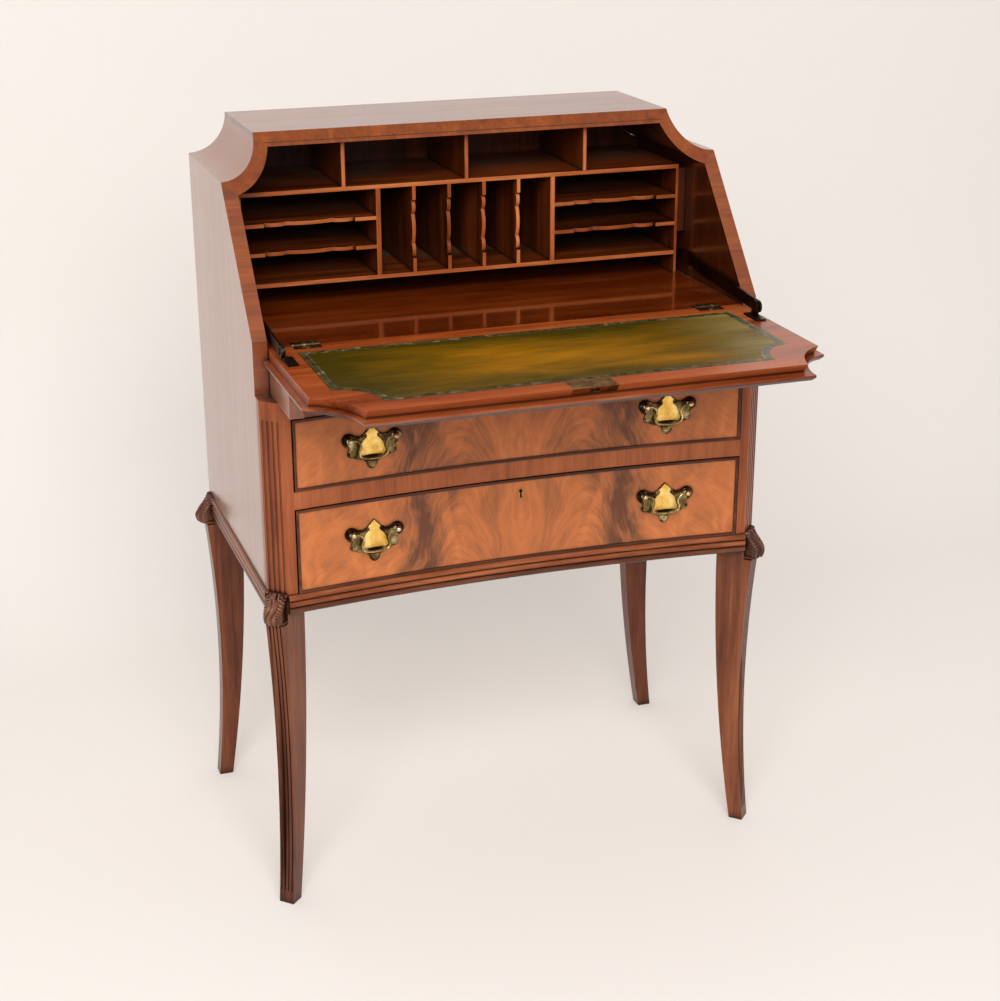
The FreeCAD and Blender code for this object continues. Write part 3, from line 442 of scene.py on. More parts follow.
def make_finishes():
    """Every material of the bureau by its short name; tones are deep, middle and pale."""
    case = ((108, 51, 22), (146, 81, 42), (172, 107, 64))
    lid = ((98, 44, 19), (136, 73, 38), (162, 98, 60))
    edge = ((92, 38, 6), (130, 60, 13), (158, 82, 26))
    rich = ((72, 22, 2), (112, 42, 6), (142, 62, 16))
    border = ((116, 44, 12), (164, 76, 28), (190, 100, 46))
    rim = ((112, 46, 18), (158, 78, 39), (188, 108, 62))
    # Lip of the fall below the tier: darker, painted shade
    lip = ((72, 30, 15), (112, 54, 31), (152, 92, 64))
    shadow = ((40, 28, 22), (62, 46, 40), (84, 66, 58))
    leg = ((72, 35, 20), (114, 61, 36), (146, 87, 55))
    stile = ((100, 46, 22), (146, 76, 40), (174, 100, 58))
    banding = ((112, 56, 28), (160, 88, 48), (188, 112, 66))
    rail = ((84, 38, 17), (138, 73, 39), (180, 108, 64))
    rail_foot = ((58, 27, 14), (98, 54, 33), (134, 82, 54))
    # Pigeonhole and back wood, darkened with painted shade; its front edges lighter with painted light
    inner = ((40, 15, 2), (90, 37, 8), (130, 60, 20))
    lit_inner_edge = ((108, 48, 16), (166, 84, 38), (206, 126, 72))
    # Inward faces of the gables: the case mahogany darkened with painted shade
    shaded_gable_inside = ((40, 13, 1), (70, 25, 3), (94, 40, 10))
    lining = ((146, 106, 66), (184, 144, 98), (206, 172, 124))
    carved = ((38, 18, 10), (92, 49, 27), (146, 88, 56))
    mitres = (("x", top_half - mitre_inset, False, dark_line),
              ("z", scoop_foot + mitre_inset, False, dark_line))
    break_seam = (("z", slope_break, True, dark_line),)
    strip_seam = (("z", case_top - strip_height, True, dark_line),)
    # Pale line on the bed along each gable: dust and a painted highlight of a rounded edge
    dust_and_highlight_line = (("x", bed_half - pale_line_inset, False, (176, 128, 106)),)
    # Rails: painted shade on faces that look down, and grooves deepened with grime and painted shade
    rail_look = {"under": shadow, "foot": (rail_bottom + rail_foot_height, rail_foot), "grime_and_shade_share": 1.0,
                 "hollow": 0.012}
    return {
        "gable": wood("gable_wood", case, "z", 1.0, 0.36, 1.6, edge, "x", shaded_gable_inside, seams=break_seam,
                      bend=1.44),
        "scoop": wood("scoop_wood", case, "z", 0.9, 0.36, 1.6, edge, "y", shaded_gable_inside, seams=mitres,
                      shift=1.3, bend=1.36),
        "top": wood("top_wood", lid, "x", 0.9, 0.36, 1.6, edge, "z", seams=strip_seam, shift=2.1, bend=1.34),
        "bed": wood("bed_wood", rich, "x", 1.0, 0.20, seams=dust_and_highlight_line, shift=0.7, bend=1.38, gloss=0.06),
        "fall": wood("fall_wood", border, "x", 0.4, 0.32, rim=rim, under=shadow, base=stile,
                     foot=(lip_top, lip), shift=4.1, grime_and_shade_share=0.7, hollow=0.004, wear=0.5),
        "ledge": wood("ledge_wood", stile, "x", shift=5.2),
        "crossband": wood("crossband_wood", banding, "z", calm=1.7, fineness=3.0, shift=6.4),
        "stile": wood("stile_wood", stile, "z", shift=7.7, grime_and_shade_share=1.0, hollow=0.022),
        "rail_x": wood("rail_wood_across", rail, "x", shift=8.2, **rail_look),
        "rail_y": wood("rail_wood_deep", rail, "y", shift=8.9, **rail_look),
        "leg": wood("leg_wood", leg, "z", shift=9.3, grime_and_shade_share=1.0, hollow=0.018),
        "carved": wood("carved_wood", carved, "z", 0.5, 0.26, shift=9.9, grime_and_shade_share=1.0, wear=0.7, bend=1.35),
        "loper": wood("loper_wood", case, "y", 1.0, front=edge, shift=10.5, bend=1.5),
        "inner_x": wood("inner_wood_across", inner, "x", 0.2, 0.38, front=lit_inner_edge, dust=0.4, shift=11.1),
        "inner_z": wood("inner_wood_upright", inner, "z", 0.2, 0.38, front=lit_inner_edge, dust=0.3, shift=12.2),
        # Filler strips take the shaded inside tones of the gables
        "filler": wood("filler_wood", shaded_gable_inside, "z", 0.2, 0.38, shift=12.9),
        "back": wood("back_wood", inner, "z", 0.1, 0.48, shift=13.7),
        "lining": wood("lining_wood", lining, "y", 0.1, 0.5, shift=14.6),
        "veneer": flame_veneer("flame_veneer"),
        "bead": bead_wood("bead_wood"),
        "leather": leather("green_leather"),
        "tooling": tooled_border("tooled_border", border_width),
        "shield": metal("bright_brass", ((222, 168, 74), (244, 198, 102), (255, 226, 146)), 0.26, 0.3),
        "aged": metal("aged_brass", ((76, 62, 36), (124, 106, 66), (196, 178, 130)), 0.26, 0.95),
        # Wing plates and scrolls: dark patina together with painted shade of their recesses and rolls
        "wing": metal("browned_brass_and_shade", ((34, 23, 12), (76, 57, 32), (160, 138, 96)), 0.26, 0.95),
        "scroll": metal("dark_bronze_and_shade", ((20, 12, 6), (46, 30, 17), (140, 112, 76)), 0.22, edges=0.3),
        "bail": metal("rubbed_brass", ((104, 82, 48), (166, 138, 88), (232, 208, 154)), 0.20),
        "ball": metal("bright_ball", ((170, 140, 96), (222, 200, 158), (255, 246, 224)), 0.12, 0.4),
        # Near-black bronze: painted shadow under the shields, and the lock bolt darkened to look like a
        # shaded slot
        "shadow_bronze": metal("blackened_bronze_shadow", ((26, 16, 8), (48, 31, 15), (76, 54, 28)), 0.45),
        "hinge": metal("hinge_brass", ((58, 42, 26), (98, 76, 48), (204, 176, 124)), 0.22),
        "lock": metal("bronzed_brass", ((92, 64, 34), (142, 106, 58), (198, 158, 98)), 0.30),
        "iron": metal("browned_iron", ((26, 18, 13), (36, 27, 20), (66, 54, 45)), 0.28, 0.5),
        "steel": metal("worn_steel", ((52, 46, 40), (84, 76, 68), (140, 132, 124)), 0.34),
    }


# Finish of every solid by the start of its name; the first that fits counts
node_finish = {
    "gable_": "gable", "scoop_": "scoop", "top_": "top", "back_": "back", "writing_": "bed", "bed_": "ledge",
    "ledge_": "ledge", "divider_": "crossband", "reeded_": "stile", "leg_": "leg", "knee_": "carved",
    "waist_rail_front": "rail_x", "waist_rail_back": "rail_x", "waist_rail_": "rail_y",
    "upper_shelf": "inner_x", "bottom_": "inner_x", "scalloped_shelves": "inner_x", "pigeonhole_": "inner_z",
    "scalloped_dividers": "inner_z", "upper_dividers": "inner_z", "filler_": "filler",
    "fall_board": "fall", "fall_leather": "leather", "fall_lock_bolt": "shadow_bronze", "fall_lock": "lock",
    "hinge_": "hinge", "stay_": "iron", "loper_": "loper", "cock_bead_": "bead", "drawer_front_": "veneer",
    "drawer_box_": "lining", "drawer_runners": "lining", "drawer_lock_bolt": "steel", "drawer_lock": "lock",
    "handle_plates_": "wing", "bail_": "bail",
}


def dress_nodes():
    """Give every solid its material."""
    for name, piece in nodes.items():
        finish = next(value for start, value in node_finish.items() if name.startswith(start))
        piece.data.materials.clear()
        piece.data.materials.append(finishes[finish])


def add_object(name, data):
    """Put a mesh, a lamp or a camera into the scene."""
    made = bpy.data.objects.new(name, data)
    bpy.context.scene.collection.objects.link(made)
    return made


def add_mesh(name, shape, material):
    """Put a bmesh into the scene as a named object."""
    mesh = bpy.data.meshes.new(name)
    shape.to_mesh(mesh)
    shape.free()
    mesh.materials.append(material)
    return add_object(name, mesh)


def make_piece(name, shape, finish, body, crease):
    """Turn a bmesh into a named piece on a body; edges past the crease angle stay sharp."""
    bmesh.ops.remove_doubles(shape, verts=shape.verts, dist=1e-6)
    bmesh.ops.recalc_face_normals(shape, faces=shape.faces)
    for face in shape.faces:
        face.smooth = True
    for edge in shape.edges:
        if len(edge.link_faces) == 2:
            edge.smooth = edge.calc_face_angle(0.0) < math.radians(crease)
    piece = add_mesh(name, shape, finishes[finish])
    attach(piece, body)
    return piece


def in_mm(*pairs):
    """Pairs of millimetres as metres."""
    return [(first * mm, second * mm) for first, second in pairs]


def turned(x_way, y_way, z_way):
    """Turn that lays the axes along three directions."""
    return Matrix((x_way, y_way, z_way)).transposed().to_4x4()


def polar(radius, angle, centre):
    """Point at a distance and angle from a centre."""
    return (centre[0] + radius * math.cos(angle), centre[1] + radius * math.sin(angle))


def arc(radius, start, turn, steps, centre=(0.0, 0.0)):
    """Points on a circle from a start angle through a turn, with both ends."""
    return [polar(radius, start + turn * i / steps, centre) for i in range(steps + 1)]


def circle(radius, sides):
    """Points of a whole circle."""
    return arc(radius, 0.0, full_turn, sides)[:-1]


def arc_through(start, middle, end, steps=8):
    """Points after the start on the arc through three points of a plane."""
    first, second, third = complex(*start), complex(*middle), complex(*end)
    ratio = (third - first) / (second - first)
    centre = first + (second - first) * (ratio - abs(ratio) ** 2) / (2j * ratio.imag)
    spoke = first - centre
    turn = cmath.phase((third - centre) / spoke) % full_turn
    if cmath.phase((second - centre) / spoke) % full_turn > turn:
        turn -= full_turn
    return arc(abs(spoke), cmath.phase(spoke), turn, steps, (centre.real, centre.imag))[1:]


def trace(start, *steps):
    """Points of an outline; a step is a point, or (middle, end) of an arc."""
    points = [start]
    for step in steps:
        if isinstance(step[0], tuple):
            points.extend(arc_through(points[-1], *step))
        else:
            points.append(step)
    return points


def both_sides(points):
    """Close an outline from its right half, which runs from top to bottom on the middle line."""
    return points + [(-x, y) for x, y in reversed(points[1:-1])]


def inset(points, distance):
    """Outline moved inwards by a distance, less at sharp corners; it runs clockwise."""
    sharp_corner = 0.625
    moved = []
    for i, point in enumerate(points):
        here = Vector(point)
        first = (here - Vector(points[i - 1])).normalized()
        second = (Vector(points[(i + 1) % len(points)]) - here).normalized()
        aside = Vector((first.y, -first.x))
        normal = (aside + Vector((second.y, -second.x))).normalized()
        moved.append(tuple(here + normal * distance / max(sharp_corner, normal.dot(aside))))
    return moved


def join(shape, first, second):
    """Ring of faces between two closed loops of as many points."""
    for i in range(len(first)):
        shape.faces.new((first[i - 1], first[i], second[i], second[i - 1]))


def slab(shape, outline, rings, place):
    """Plate with a moulded rim: rings are (distance in from the outline, height)."""
    loops = []
    for distance, height in rings:
        loop = inset(outline, distance) if distance else outline
        loops.append([shape.verts.new(place @ Vector((x, y, height))) for x, y in loop])
    for low, high in zip(loops, loops[1:]):
        join(shape, low, high)
    shape.faces.new(loops[-1])
    shape.faces.new(loops[0][::-1])


def lathe(shape, profile, place, sides=24):
    """Turned form about the place's Z axis; the profile is (radius, height) from its base to its tip."""
    loops = []
    for radius, height in profile:
        ring = circle(radius, sides) if radius else [(0.0, 0.0)]
        loops.append([shape.verts.new(place @ Vector((x, y, height))) for x, y in ring])
    for low, high in zip(loops, loops[1:]):
        for i in range(sides):
            corners = [low[i - 1], low[i], high[i % len(high)], high[(i - 1) % len(high)]]
            shape.faces.new(list(dict.fromkeys(corners)))
    shape.faces.new(loops[0][::-1])


def tube(shape, path, radii, place, sides):
    """Round bar along a path, with its own radius at each point and rounded ends."""
    points = [place @ Vector(point) for point in path]
    side = (points[1] - points[0]).orthogonal()
    loops = []
    for i, point in enumerate(points):
        ahead = (points[min(i + 1, len(points) - 1)] - points[max(i - 1, 0)]).normalized()
        side = (side - ahead * side.dot(ahead)).normalized()
        up = ahead.cross(side)
        loops.append([shape.verts.new(point + side * x + up * y) for x, y in circle(radii[i], sides)])
    for low, high in zip(loops, loops[1:]):
        join(shape, low, high)
    for end, before in ((0, 1), (-1, -2)):
        way = (points[end] - points[before]).normalized()
        crown = shape.verts.new(points[end] + way * radii[end] * 0.6)
        for k in range(sides):
            shape.faces.new((loops[end][k - 1], loops[end][k], crown))


def smooth_path(knots, steps=6):
    """Points on a smooth curve through knots."""
    points = []
    last = len(knots) - 1
    for i in range(last):
        before, start, end, after = [Vector(knots[min(max(k, 0), last)]) for k in range(i - 1, i + 3)]
        for k in range(steps):
            t = k / steps
            points.append(0.5 * (2 * start + (end - before) * t
                                 + (2 * before - 5 * start + 4 * end - after) * t * t
                                 + (3 * start - before - 3 * end + after) * t ** 3))
    points.append(Vector(knots[-1]))
    return points


# Bat-wing handles
post_reach = 9.0 * mm
post_half = 30.5 * mm
ball_radius = 3.8 * mm
bail_radius = 1.05 * mm
bail_swell = 0.36
bail_end_radius = 1.0 * mm
bail_side_gap = 0.5 * mm
bail_neck_radius = 9.5 * mm
bail_neck_turn = math.radians(120)
bail_corner_radius = 7.0 * mm
bail_sag_angle = math.radians(12)
rivet_share = 0.30
brow_tip = 0.9 * mm
brow_swell = 2.1 * mm

# Rims of the plates (distance in, height) and turned profiles (radius, height)
plate_rings = in_mm((0, 0), (0, 1.0), (0.5, 1.5))
leaf_rings = in_mm((0, 1.2), (0, 1.7), (0.6, 2.2))
tab_rings = in_mm((0, 1.2), (0, 1.7), (0.8, 2.4), (1.6, 2.7))
shield_rings = in_mm((0, 1.2), (0, 2.1), (0.5, 2.6))
shield_shadow_rings = in_mm((0, 1.2), (0, 1.6), (0.3, 1.8))
eye_profile = in_mm((2.2, 0.2), (2.2, 2.0), (1.8, 2.6), (1.0, 3.0), (0, 3.1))
rivet_profile = in_mm((1.1, -0.4), (1.1, 0.1), (0.7, 0.45), (0, 0.55))
neck_profile = in_mm((4.2, 1.2), (4.2, 1.9), (3.2, 2.6), (2.1, 3.4), (1.9, 4.6), (2.4, 5.4), (3.2, 6.9))

# Half width of a backplate, and its reach above and below the posts
plate_low, plate_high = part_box("handle_plates_lower")
plate_axis = joints["bail_swing_lower_right"]["axis"]
plate_pivot = Vector(joints["bail_swing_lower_right"]["pos_m"])
plate_half = (plate_high.x - plate_pivot.x) / abs(plate_axis[0]) - post_reach * abs(plate_axis[1])
plate_crown = plate_high.z - plate_pivot.z
plate_foot = plate_pivot.z - plate_low.z


def at(x, y):
    """Point of a backplate from shares of its half width and of its reach above or below the posts."""
    return (x * plate_half, y * (plate_crown if y > 0 else plate_foot))


# Outlines of the backplate, its raised shield, the near-black painted shadow below that, its tab and a
# wing's leaf
plate_line = both_sides(trace(
    at(0, 1), at(0.075, 0.80), at(0.115, 0.75), at(0.155, 0.60), at(0.195, 0.54), at(0.24, 0.38),
    at(0.285, 0.31), at(0.335, 0.27), at(0.40, 0.12), (at(0.54, 0.20), at(0.65, 0.39)),
    (at(0.89, 0.44), at(1, 0)), (at(0.965, -0.13), at(0.86, -0.26)), (at(0.785, -0.30), at(0.765, -0.37)),
    at(0.835, -0.425), (at(0.805, -0.53), at(0.66, -0.58)), at(0.49, -0.665),
    (at(0.295, -0.70), at(0.18, -0.79)), (at(0.145, -0.91), at(0, -1)),
))
shield_line = both_sides(trace(
    at(0, 0.95), at(0.06, 0.77), at(0.10, 0.72), at(0.14, 0.57), at(0.175, 0.51), at(0.215, 0.37),
    (at(0.175, 0.15), at(0.225, -0.01)), (at(0.335, -0.12), at(0.415, -0.34)),
    (at(0.44, -0.48), at(0.35, -0.545)), (at(0.18, -0.535), at(0, -0.525)),
))
shield_shadow_line = both_sides(trace(
    at(0, -0.515), (at(0.15, -0.525), at(0.30, -0.54)), (at(0.16, -0.63), at(0, -0.645)),
))
tab_line = both_sides(trace(
    at(0, -0.72), at(0.16, -0.73), at(0.145, -0.82), (at(0.09, -0.90), at(0, -0.965)),
))
leaf_line = trace(
    at(0.545, -0.03), at(0.70, -0.02), (at(0.79, -0.12), at(0.735, -0.25)), at(0.80, -0.40),
    at(0.735, -0.42), at(0.76, -0.52), (at(0.66, -0.55), at(0.555, -0.45)),
    (at(0.515, -0.24), at(0.545, -0.03)),
)[:-1]

# Round eye of a wing and the middle line of its brow: shares of the plate, and height in mm
eye_spot = (0.29, 0.12)
brow_knots = ((0.34, 0.10, 1.3), (0.55, 0.12, 1.9), (0.70, 0.28, 2.3), (0.86, 0.24, 2.4), (0.94, -0.02, 2.2),
              (0.90, -0.14, 1.8), (0.82, -0.22, 1.4))


def handle_place(row, hand):
    """Plate's own frame at its back, level with the posts: X across, Y up and Z out of the drawer."""
    joint = joints["bail_swing_" + row + "_" + hand]
    across = -Vector(joint["axis"]).normalized()
    up = Vector((0, 0, 1))
    out = across.cross(up)
    return Matrix.Translation(Vector(joint["pos_m"]) - out * post_reach) @ turned(across, up, out)


def bail_path():
    """Middle line of the hanging bail, from the left post to the right one."""
    shoulder = -post_half + ball_radius + bail_side_gap
    corner_start = 3 * quarter_turn - bail_neck_turn
    sag_start = 3 * quarter_turn - bail_sag_angle
    neck = (shoulder, -bail_neck_radius)
    corner = polar(bail_neck_radius + bail_corner_radius, corner_start - math.pi, neck)
    low_end = polar(bail_corner_radius, sag_start, corner)
    sag_radius = low_end[0] / math.cos(sag_start)
    sag = polar(sag_radius, sag_start - math.pi, low_end)
    left = [(-post_half, 0), (shoulder - bail_side_gap, 0)]
    left += arc(bail_neck_radius, quarter_turn, -bail_neck_turn, 14, neck)[:-1]
    left += arc(bail_corner_radius, corner_start, sag_start - corner_start, 12, corner)[:-1]
    left += arc(sag_radius, sag_start, bail_sag_angle, 6, sag)
    right = [(-x, y) for x, y in reversed(left[:-1])]
    return [(x, y, post_reach) for x, y in left + right]


def make_handle(row, hand):
    """Backplate with raised shield, curled wings and ball posts, and the bail that hangs on it."""
    place = handle_place(row, hand)
    body = "drawer_" + row
    name = row + "_" + hand

    shape = bmesh.new()
    slab(shape, plate_line, plate_rings, place)
    scrolls = bmesh.new()
    leaves = bmesh.new()
    for side in (-1, 1):
        # The brow that rolls from its round eye over the post, and the barbed leaf below it
        brow = smooth_path([(*at(side * x, y), height * mm) for x, y, height in brow_knots])
        last = len(brow) - 1
        swell = [brow_tip + brow_swell * math.sin(math.pi * i / last) for i in range(last + 1)]
        tube(scrolls, brow, swell, place, 12)
        eye = Matrix.Translation((*at(side * eye_spot[0], eye_spot[1]), 0))
        lathe(scrolls, eye_profile, place @ eye, 18)
        leaf = leaf_line if side > 0 else [(-x, y) for x, y in reversed(leaf_line)]
        slab(leaves, leaf, leaf_rings, place)
    slab(leaves, tab_line, tab_rings, place)
    make_piece("wing_scrolls_" + name, scrolls, "scroll", body, 50)
    make_piece("wing_leaves_" + name, leaves, "aged", body, 50)
    plate = make_piece("wing_plate_" + name, shape, "wing", body, 16)
    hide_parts("handle_plates_" + row)

    shape = bmesh.new()
    ball = arc(ball_radius, -quarter_turn / 6, quarter_turn, 6, (0.0, post_reach))
    ball.append((0.0, post_reach + ball_radius))
    for side in (-1, 1):
        lathe(shape, neck_profile + ball, place @ Matrix.Translation((side * post_half, 0, 0)))
    make_piece("ball_posts_" + name, shape, "ball", body, 40)

    shape = bmesh.new()
    slab(shape, shield_line, shield_rings, place)
    rivet = Matrix.Translation((0, -rivet_share * plate_foot, shield_rings[-1][1]))
    lathe(shape, rivet_profile, place @ rivet, 14)
    make_piece("shield_" + name, shape, "shield", body, 16)

    # Near-black crescent under the shield: painted shadow
    shape = bmesh.new()
    slab(shape, shield_shadow_line, shield_shadow_rings, place)
    make_piece("shield_shadow_" + name, shape, "shadow_bronze", body, 30)

    shape = bmesh.new()
    path = bail_path()
    last = len(path) - 1
    radii = [bail_radius * (1 + bail_swell * (1 - abs(2 * i / last - 1))) for i in range(last + 1)]
    radii[:2] = radii[-2:] = (bail_end_radius, bail_end_radius)
    tube(shape, path, radii, place, 16)
    bail = make_piece("round_bail_" + name, shape, "bail", "bail_" + name, 60)
    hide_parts("bail_" + name)


# Carved knees; shares across are of half the width, shares down are of the height
knee_rows = 72
knee_columns = 64
knee_half = 17.0 * mm
knee_reach = 24.0 * mm
knee_inset = 11.0 * mm
knee_root = 2.5 * mm
knee_length = 0.95
knee_belly = 0.72
knee_roundness = 2.6
top_swell = 0.14
foot_swell = 0.66
flutes = 10.5
flute_lean = 0.22
flute_start = 0.26
flute_notch = 0.07
lobes = 3.5
lobe_drop = 0.06
lobe_rise = 2.0 * mm
tuck_start = 0.75
tuck_share = 0.45
carving_depth = 2.2 * mm
vein_height = 2.0 * mm
vein_width = 0.08
vein_sway = 0.14
vein_start = 0.15
vein_length = 0.9
groove_offset = 0.22
top_curl = 2.4 * mm
top_curl_share = 0.22
foot_curl = 2.0 * mm
foot_curl_share = 0.18


def knee_surface(across, down):
    """Outward reach of the carved leaf: across from -1 to 1, down from 0 at the top to 1."""
    if down < knee_belly:
        swell = top_swell + (1 - top_swell) * math.sin(quarter_turn * down / knee_belly) ** 1.1
    else:
        below = (down - knee_belly) / (1 - knee_belly)
        swell = foot_swell + (1 - foot_swell) * math.sqrt(max(0.0, 1 - below ** 2))
    form = knee_reach * swell * (1 - abs(across) ** knee_roundness) ** (1 / knee_roundness)
    # Cusped side flutes, an S-shaped vein between two grooves, and curled tips above and below
    flank = min(1.0, max(0.0, 3.0 * (abs(across) - flute_start)))
    flute = abs(math.sin(math.pi * flutes * (down - flute_lean * abs(across))))
    form -= carving_depth * (1 - flute) ** 1.6 * flank
    vein = vein_sway * math.sin(full_turn * (down - vein_start) / vein_length)
    form += vein_height * math.exp(-((across - vein) / vein_width) ** 2)
    for groove in (-groove_offset, groove_offset):
        form -= carving_depth * math.exp(-((across - vein - groove) / vein_width) ** 2)
    curl = abs(math.cos(lobes * math.pi * across))
    form += top_curl * max(0.0, 1 - down / top_curl_share) * curl
    form += foot_curl * max(0.0, 1 - (1 - down) / foot_curl_share) * curl
    return max(0.0, form)


def make_knee(end, hand):
    """Acanthus leaf carved on the head of a leg."""
    node = "knee_" + end + "_" + hand
    low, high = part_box(node)
    mirror = -1 if hand == "left" else 1
    if end == "front":
        out = Vector((mirror, -1, 0)).normalized()
        stile_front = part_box("reeded_stile_left")[0].y
        corner = Vector((mirror * (case_half - knee_inset), stile_front + knee_inset, 0))
    else:
        out = Vector((mirror, 0, 0))
        corner = Vector((mirror * case_half, (low.y + high.y) / 2, 0))
    across_way = Vector((-out.y, out.x, 0))
    shape = bmesh.new()
    loops = []
    for i in range(knee_rows + 1):
        down = i / knee_rows
        front_row = []
        back_row = []
        for k in range(knee_columns + 1):
            across = 2 * k / knee_columns - 1
            tips = abs(math.cos(lobes * math.pi * across))
            fall = down * (1 + lobe_drop * tips * down ** 4) - lobe_drop * down ** 6
            height = high.z - knee_length * fall * (high.z - low.z) + lobe_rise * tips * (1 - down) ** 5
            notch = 1 - flute_notch * (1 - abs(math.sin(math.pi * flutes * down)))
            outer = max(0.0, (abs(across) - tuck_start) / (1 - tuck_start))
            tuck = tuck_share * min(1.0, 1.6 * down) * outer ** 2
            place = corner + across_way * across * knee_half * notch * (1 - tuck) + Vector((0, 0, height))
            front_row.append(shape.verts.new(place + out * knee_surface(across, down)))
            back_row.append(shape.verts.new(place - out * knee_root))
        loops.append(front_row + back_row[::-1])
    for upper, lower in zip(loops, loops[1:]):
        join(shape, upper, lower)
    for loop in (loops[0], loops[-1]):
        for k in range(knee_columns):
            shape.faces.new((loop[k], loop[k + 1], loop[-k - 2], loop[-k - 1]))
    piece = make_piece("carved_" + node, shape, "carved", "carcase", 40)
    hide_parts(node)


# Liner of the keyhole
keyhole_height = 549.0 * mm
keyhole_radius = 2.6 * mm
keyhole_slot = 9.0 * mm
liner_width = 1.2 * mm
liner_depth = 1.5 * mm
liner_rise_inside = 0.3 * mm
liner_rise_outside = 0.45 * mm


def make_keyhole():
    """Thin brass liner let in round the keyhole of the lower drawer."""
    start = Vector((3 * keyhole_radius, -1.0, keyhole_height))
    face_y = nodes["drawer_front_lower"].ray_cast(start, Vector((0, 1, 0)))[1].y
    lines = []
    for grow in (0.0, liner_width):
        radius = keyhole_radius + grow
        half = keyhole_radius / 2 + grow
        bottom = -keyhole_slot - grow
        open_turn = math.asin(half / radius)
        bow = arc(radius, -quarter_turn - open_turn, 2 * open_turn - full_turn, 16)
        lines.append([(-half, bottom), *bow, (half, bottom)])
    inner, outer = lines
    shape = bmesh.new()
    rings = []
    for line, height in ((inner, -liner_depth), (inner, liner_rise_inside), (outer, liner_rise_outside),
                         (outer, -liner_depth)):
        rings.append([shape.verts.new((x, face_y - height, keyhole_height + z)) for x, z in line])
    for first, second in zip(rings, rings[1:] + rings[:1]):
        join(shape, first, second)
    make_piece("keyhole_liner", shape, "lock", "drawer_lower", 40)


# Tooled border of the leather
scoop_width = 47.0 * mm
scoop_length = 58.0 * mm
border_start = 1.2 * mm
border_width = 9.5 * mm
border_rise = 0.12 * mm
border_sink = 0.3 * mm


def leather_line(distance):
    """Outline of the leather moved in by a distance, with scooped front corners."""
    half = leather_half - distance
    front = leather_low.y + distance
    right = [(half, leather_high.y - distance)]
    for cosine, sine in arc(1.0, 0.0, quarter_turn, 20):
        x = leather_half - (scoop_width + distance) * sine
        y = leather_low.y + (scoop_length + distance) * cosine
        right.append((min(x, half), max(y, front)))
    return right + [(-x, y) for x, y in reversed(right)]


def make_tooling():
    """Blind-tooled band let into the leather all round."""
    outer = leather_line(border_start)
    inner = leather_line(border_start + border_width)
    top = leather_high.z + border_rise
    base = leather_high.z - border_sink
    section = ((outer, base, 0.0), (outer, top, 0.0), (inner, top, border_width),
               (inner, base, border_width))
    shape = bmesh.new()
    strip = shape.loops.layers.uv.new("strip")
    run = 0.0
    for i in range(len(outer)):
        j = (i + 1) % len(outer)
        run_end = run + (Vector(outer[j]) - Vector(outer[i])).length
        for first, second in zip(section, section[1:]):
            corners = ((first, i, run), (first, j, run_end), (second, j, run_end), (second, i, run))
            face = shape.faces.new([shape.verts.new((*line[k], z)) for (line, z, _), k, _ in corners])
            for loop, ((_, _, side), _, along) in zip(face.loops, corners):
                loop[strip].uv = (along, side)
        run = run_end
    make_piece("leather_tooling", shape, "tooling", "fall", 60)


# Screws
hinge_screw = 2.3 * mm
hinge_row = 10.5 * mm
hinge_stagger = 1.5 * mm
bracket_screw = 2.6 * mm
bracket_thick = 2.0 * mm
bracket_side = 7.0 * mm
lock_screw = 2.2 * mm
lock_side = 6.0 * mm
screw_slot = 0.16
screw_sink = -0.4 * mm
slot_floor = -0.12 * mm
hinge_shares = (-0.32, 0.0, 0.32)
bracket_shares = (0.16, 0.84)
lock_shares = (0.10, 0.90)


def make_screw(name, place, radius, body, finish, turn):
    """Countersunk upright screw with a slot across its slightly domed head."""
    out = Vector((0, 0, 1))
    side = Matrix.Rotation(turn, 3, out) @ out.orthogonal().normalized()
    head = Matrix.Translation(Vector(place)) @ turned(side, out.cross(side), out)
    rings = ((0, screw_sink), (0, 0.10 * mm), (0.12 * radius, 0.24 * mm), (0.3 * radius, 0.30 * mm))
    shape = bmesh.new()
    start = math.asin(screw_slot)
    half = arc(radius, start, math.pi - 2 * start, 14)
    slab(shape, half[::-1], rings, head)
    slab(shape, [(x, -y) for x, y in half], rings, head)
    slab(shape, circle(0.98 * radius, 20)[::-1], ((0, screw_sink), (0, slot_floor)), head)
    make_piece(name, shape, finish, body, 40)


def make_screws():
    """Screws of the hinges, stay brackets and fall lock."""
    for hand in ("left", "right"):
        for part, body, way in (("bed", "carcase", 1), ("fall", "fall", -1)):
            low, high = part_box("hinge_" + part + "_" + hand)
            middle = (low.x + high.x) / 2
            row = hinge_y + way * hinge_row
            for k, share in enumerate(hinge_shares):
                offset = way * hinge_stagger if k == 1 else 0
                place = (middle + share * (high.x - low.x), row + offset, bed_top)
                make_screw("hinge_screw_%s_%s_%d" % (part, hand, k), place, hinge_screw, body,
                           "hinge", 0.6 + 0.9 * k)
        low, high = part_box("stay_bracket_" + hand)
        inner = high.x - bracket_side if hand == "left" else low.x + bracket_side
        for k, share in enumerate(bracket_shares):
            place = (inner, low.y + share * (high.y - low.y), bed_top + bracket_thick)
            make_screw("bracket_screw_%s_%d" % (hand, k), place, bracket_screw, "fall", "iron",
                       0.4 + 1.1 * k)
    low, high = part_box("fall_lock")
    for k, share in enumerate(lock_shares):
        place = (low.x + share * (high.x - low.x), high.y - lock_side, bed_top)
        make_screw("lock_screw_%d" % k, place, lock_screw, "fall", "lock", 0.3 + k)


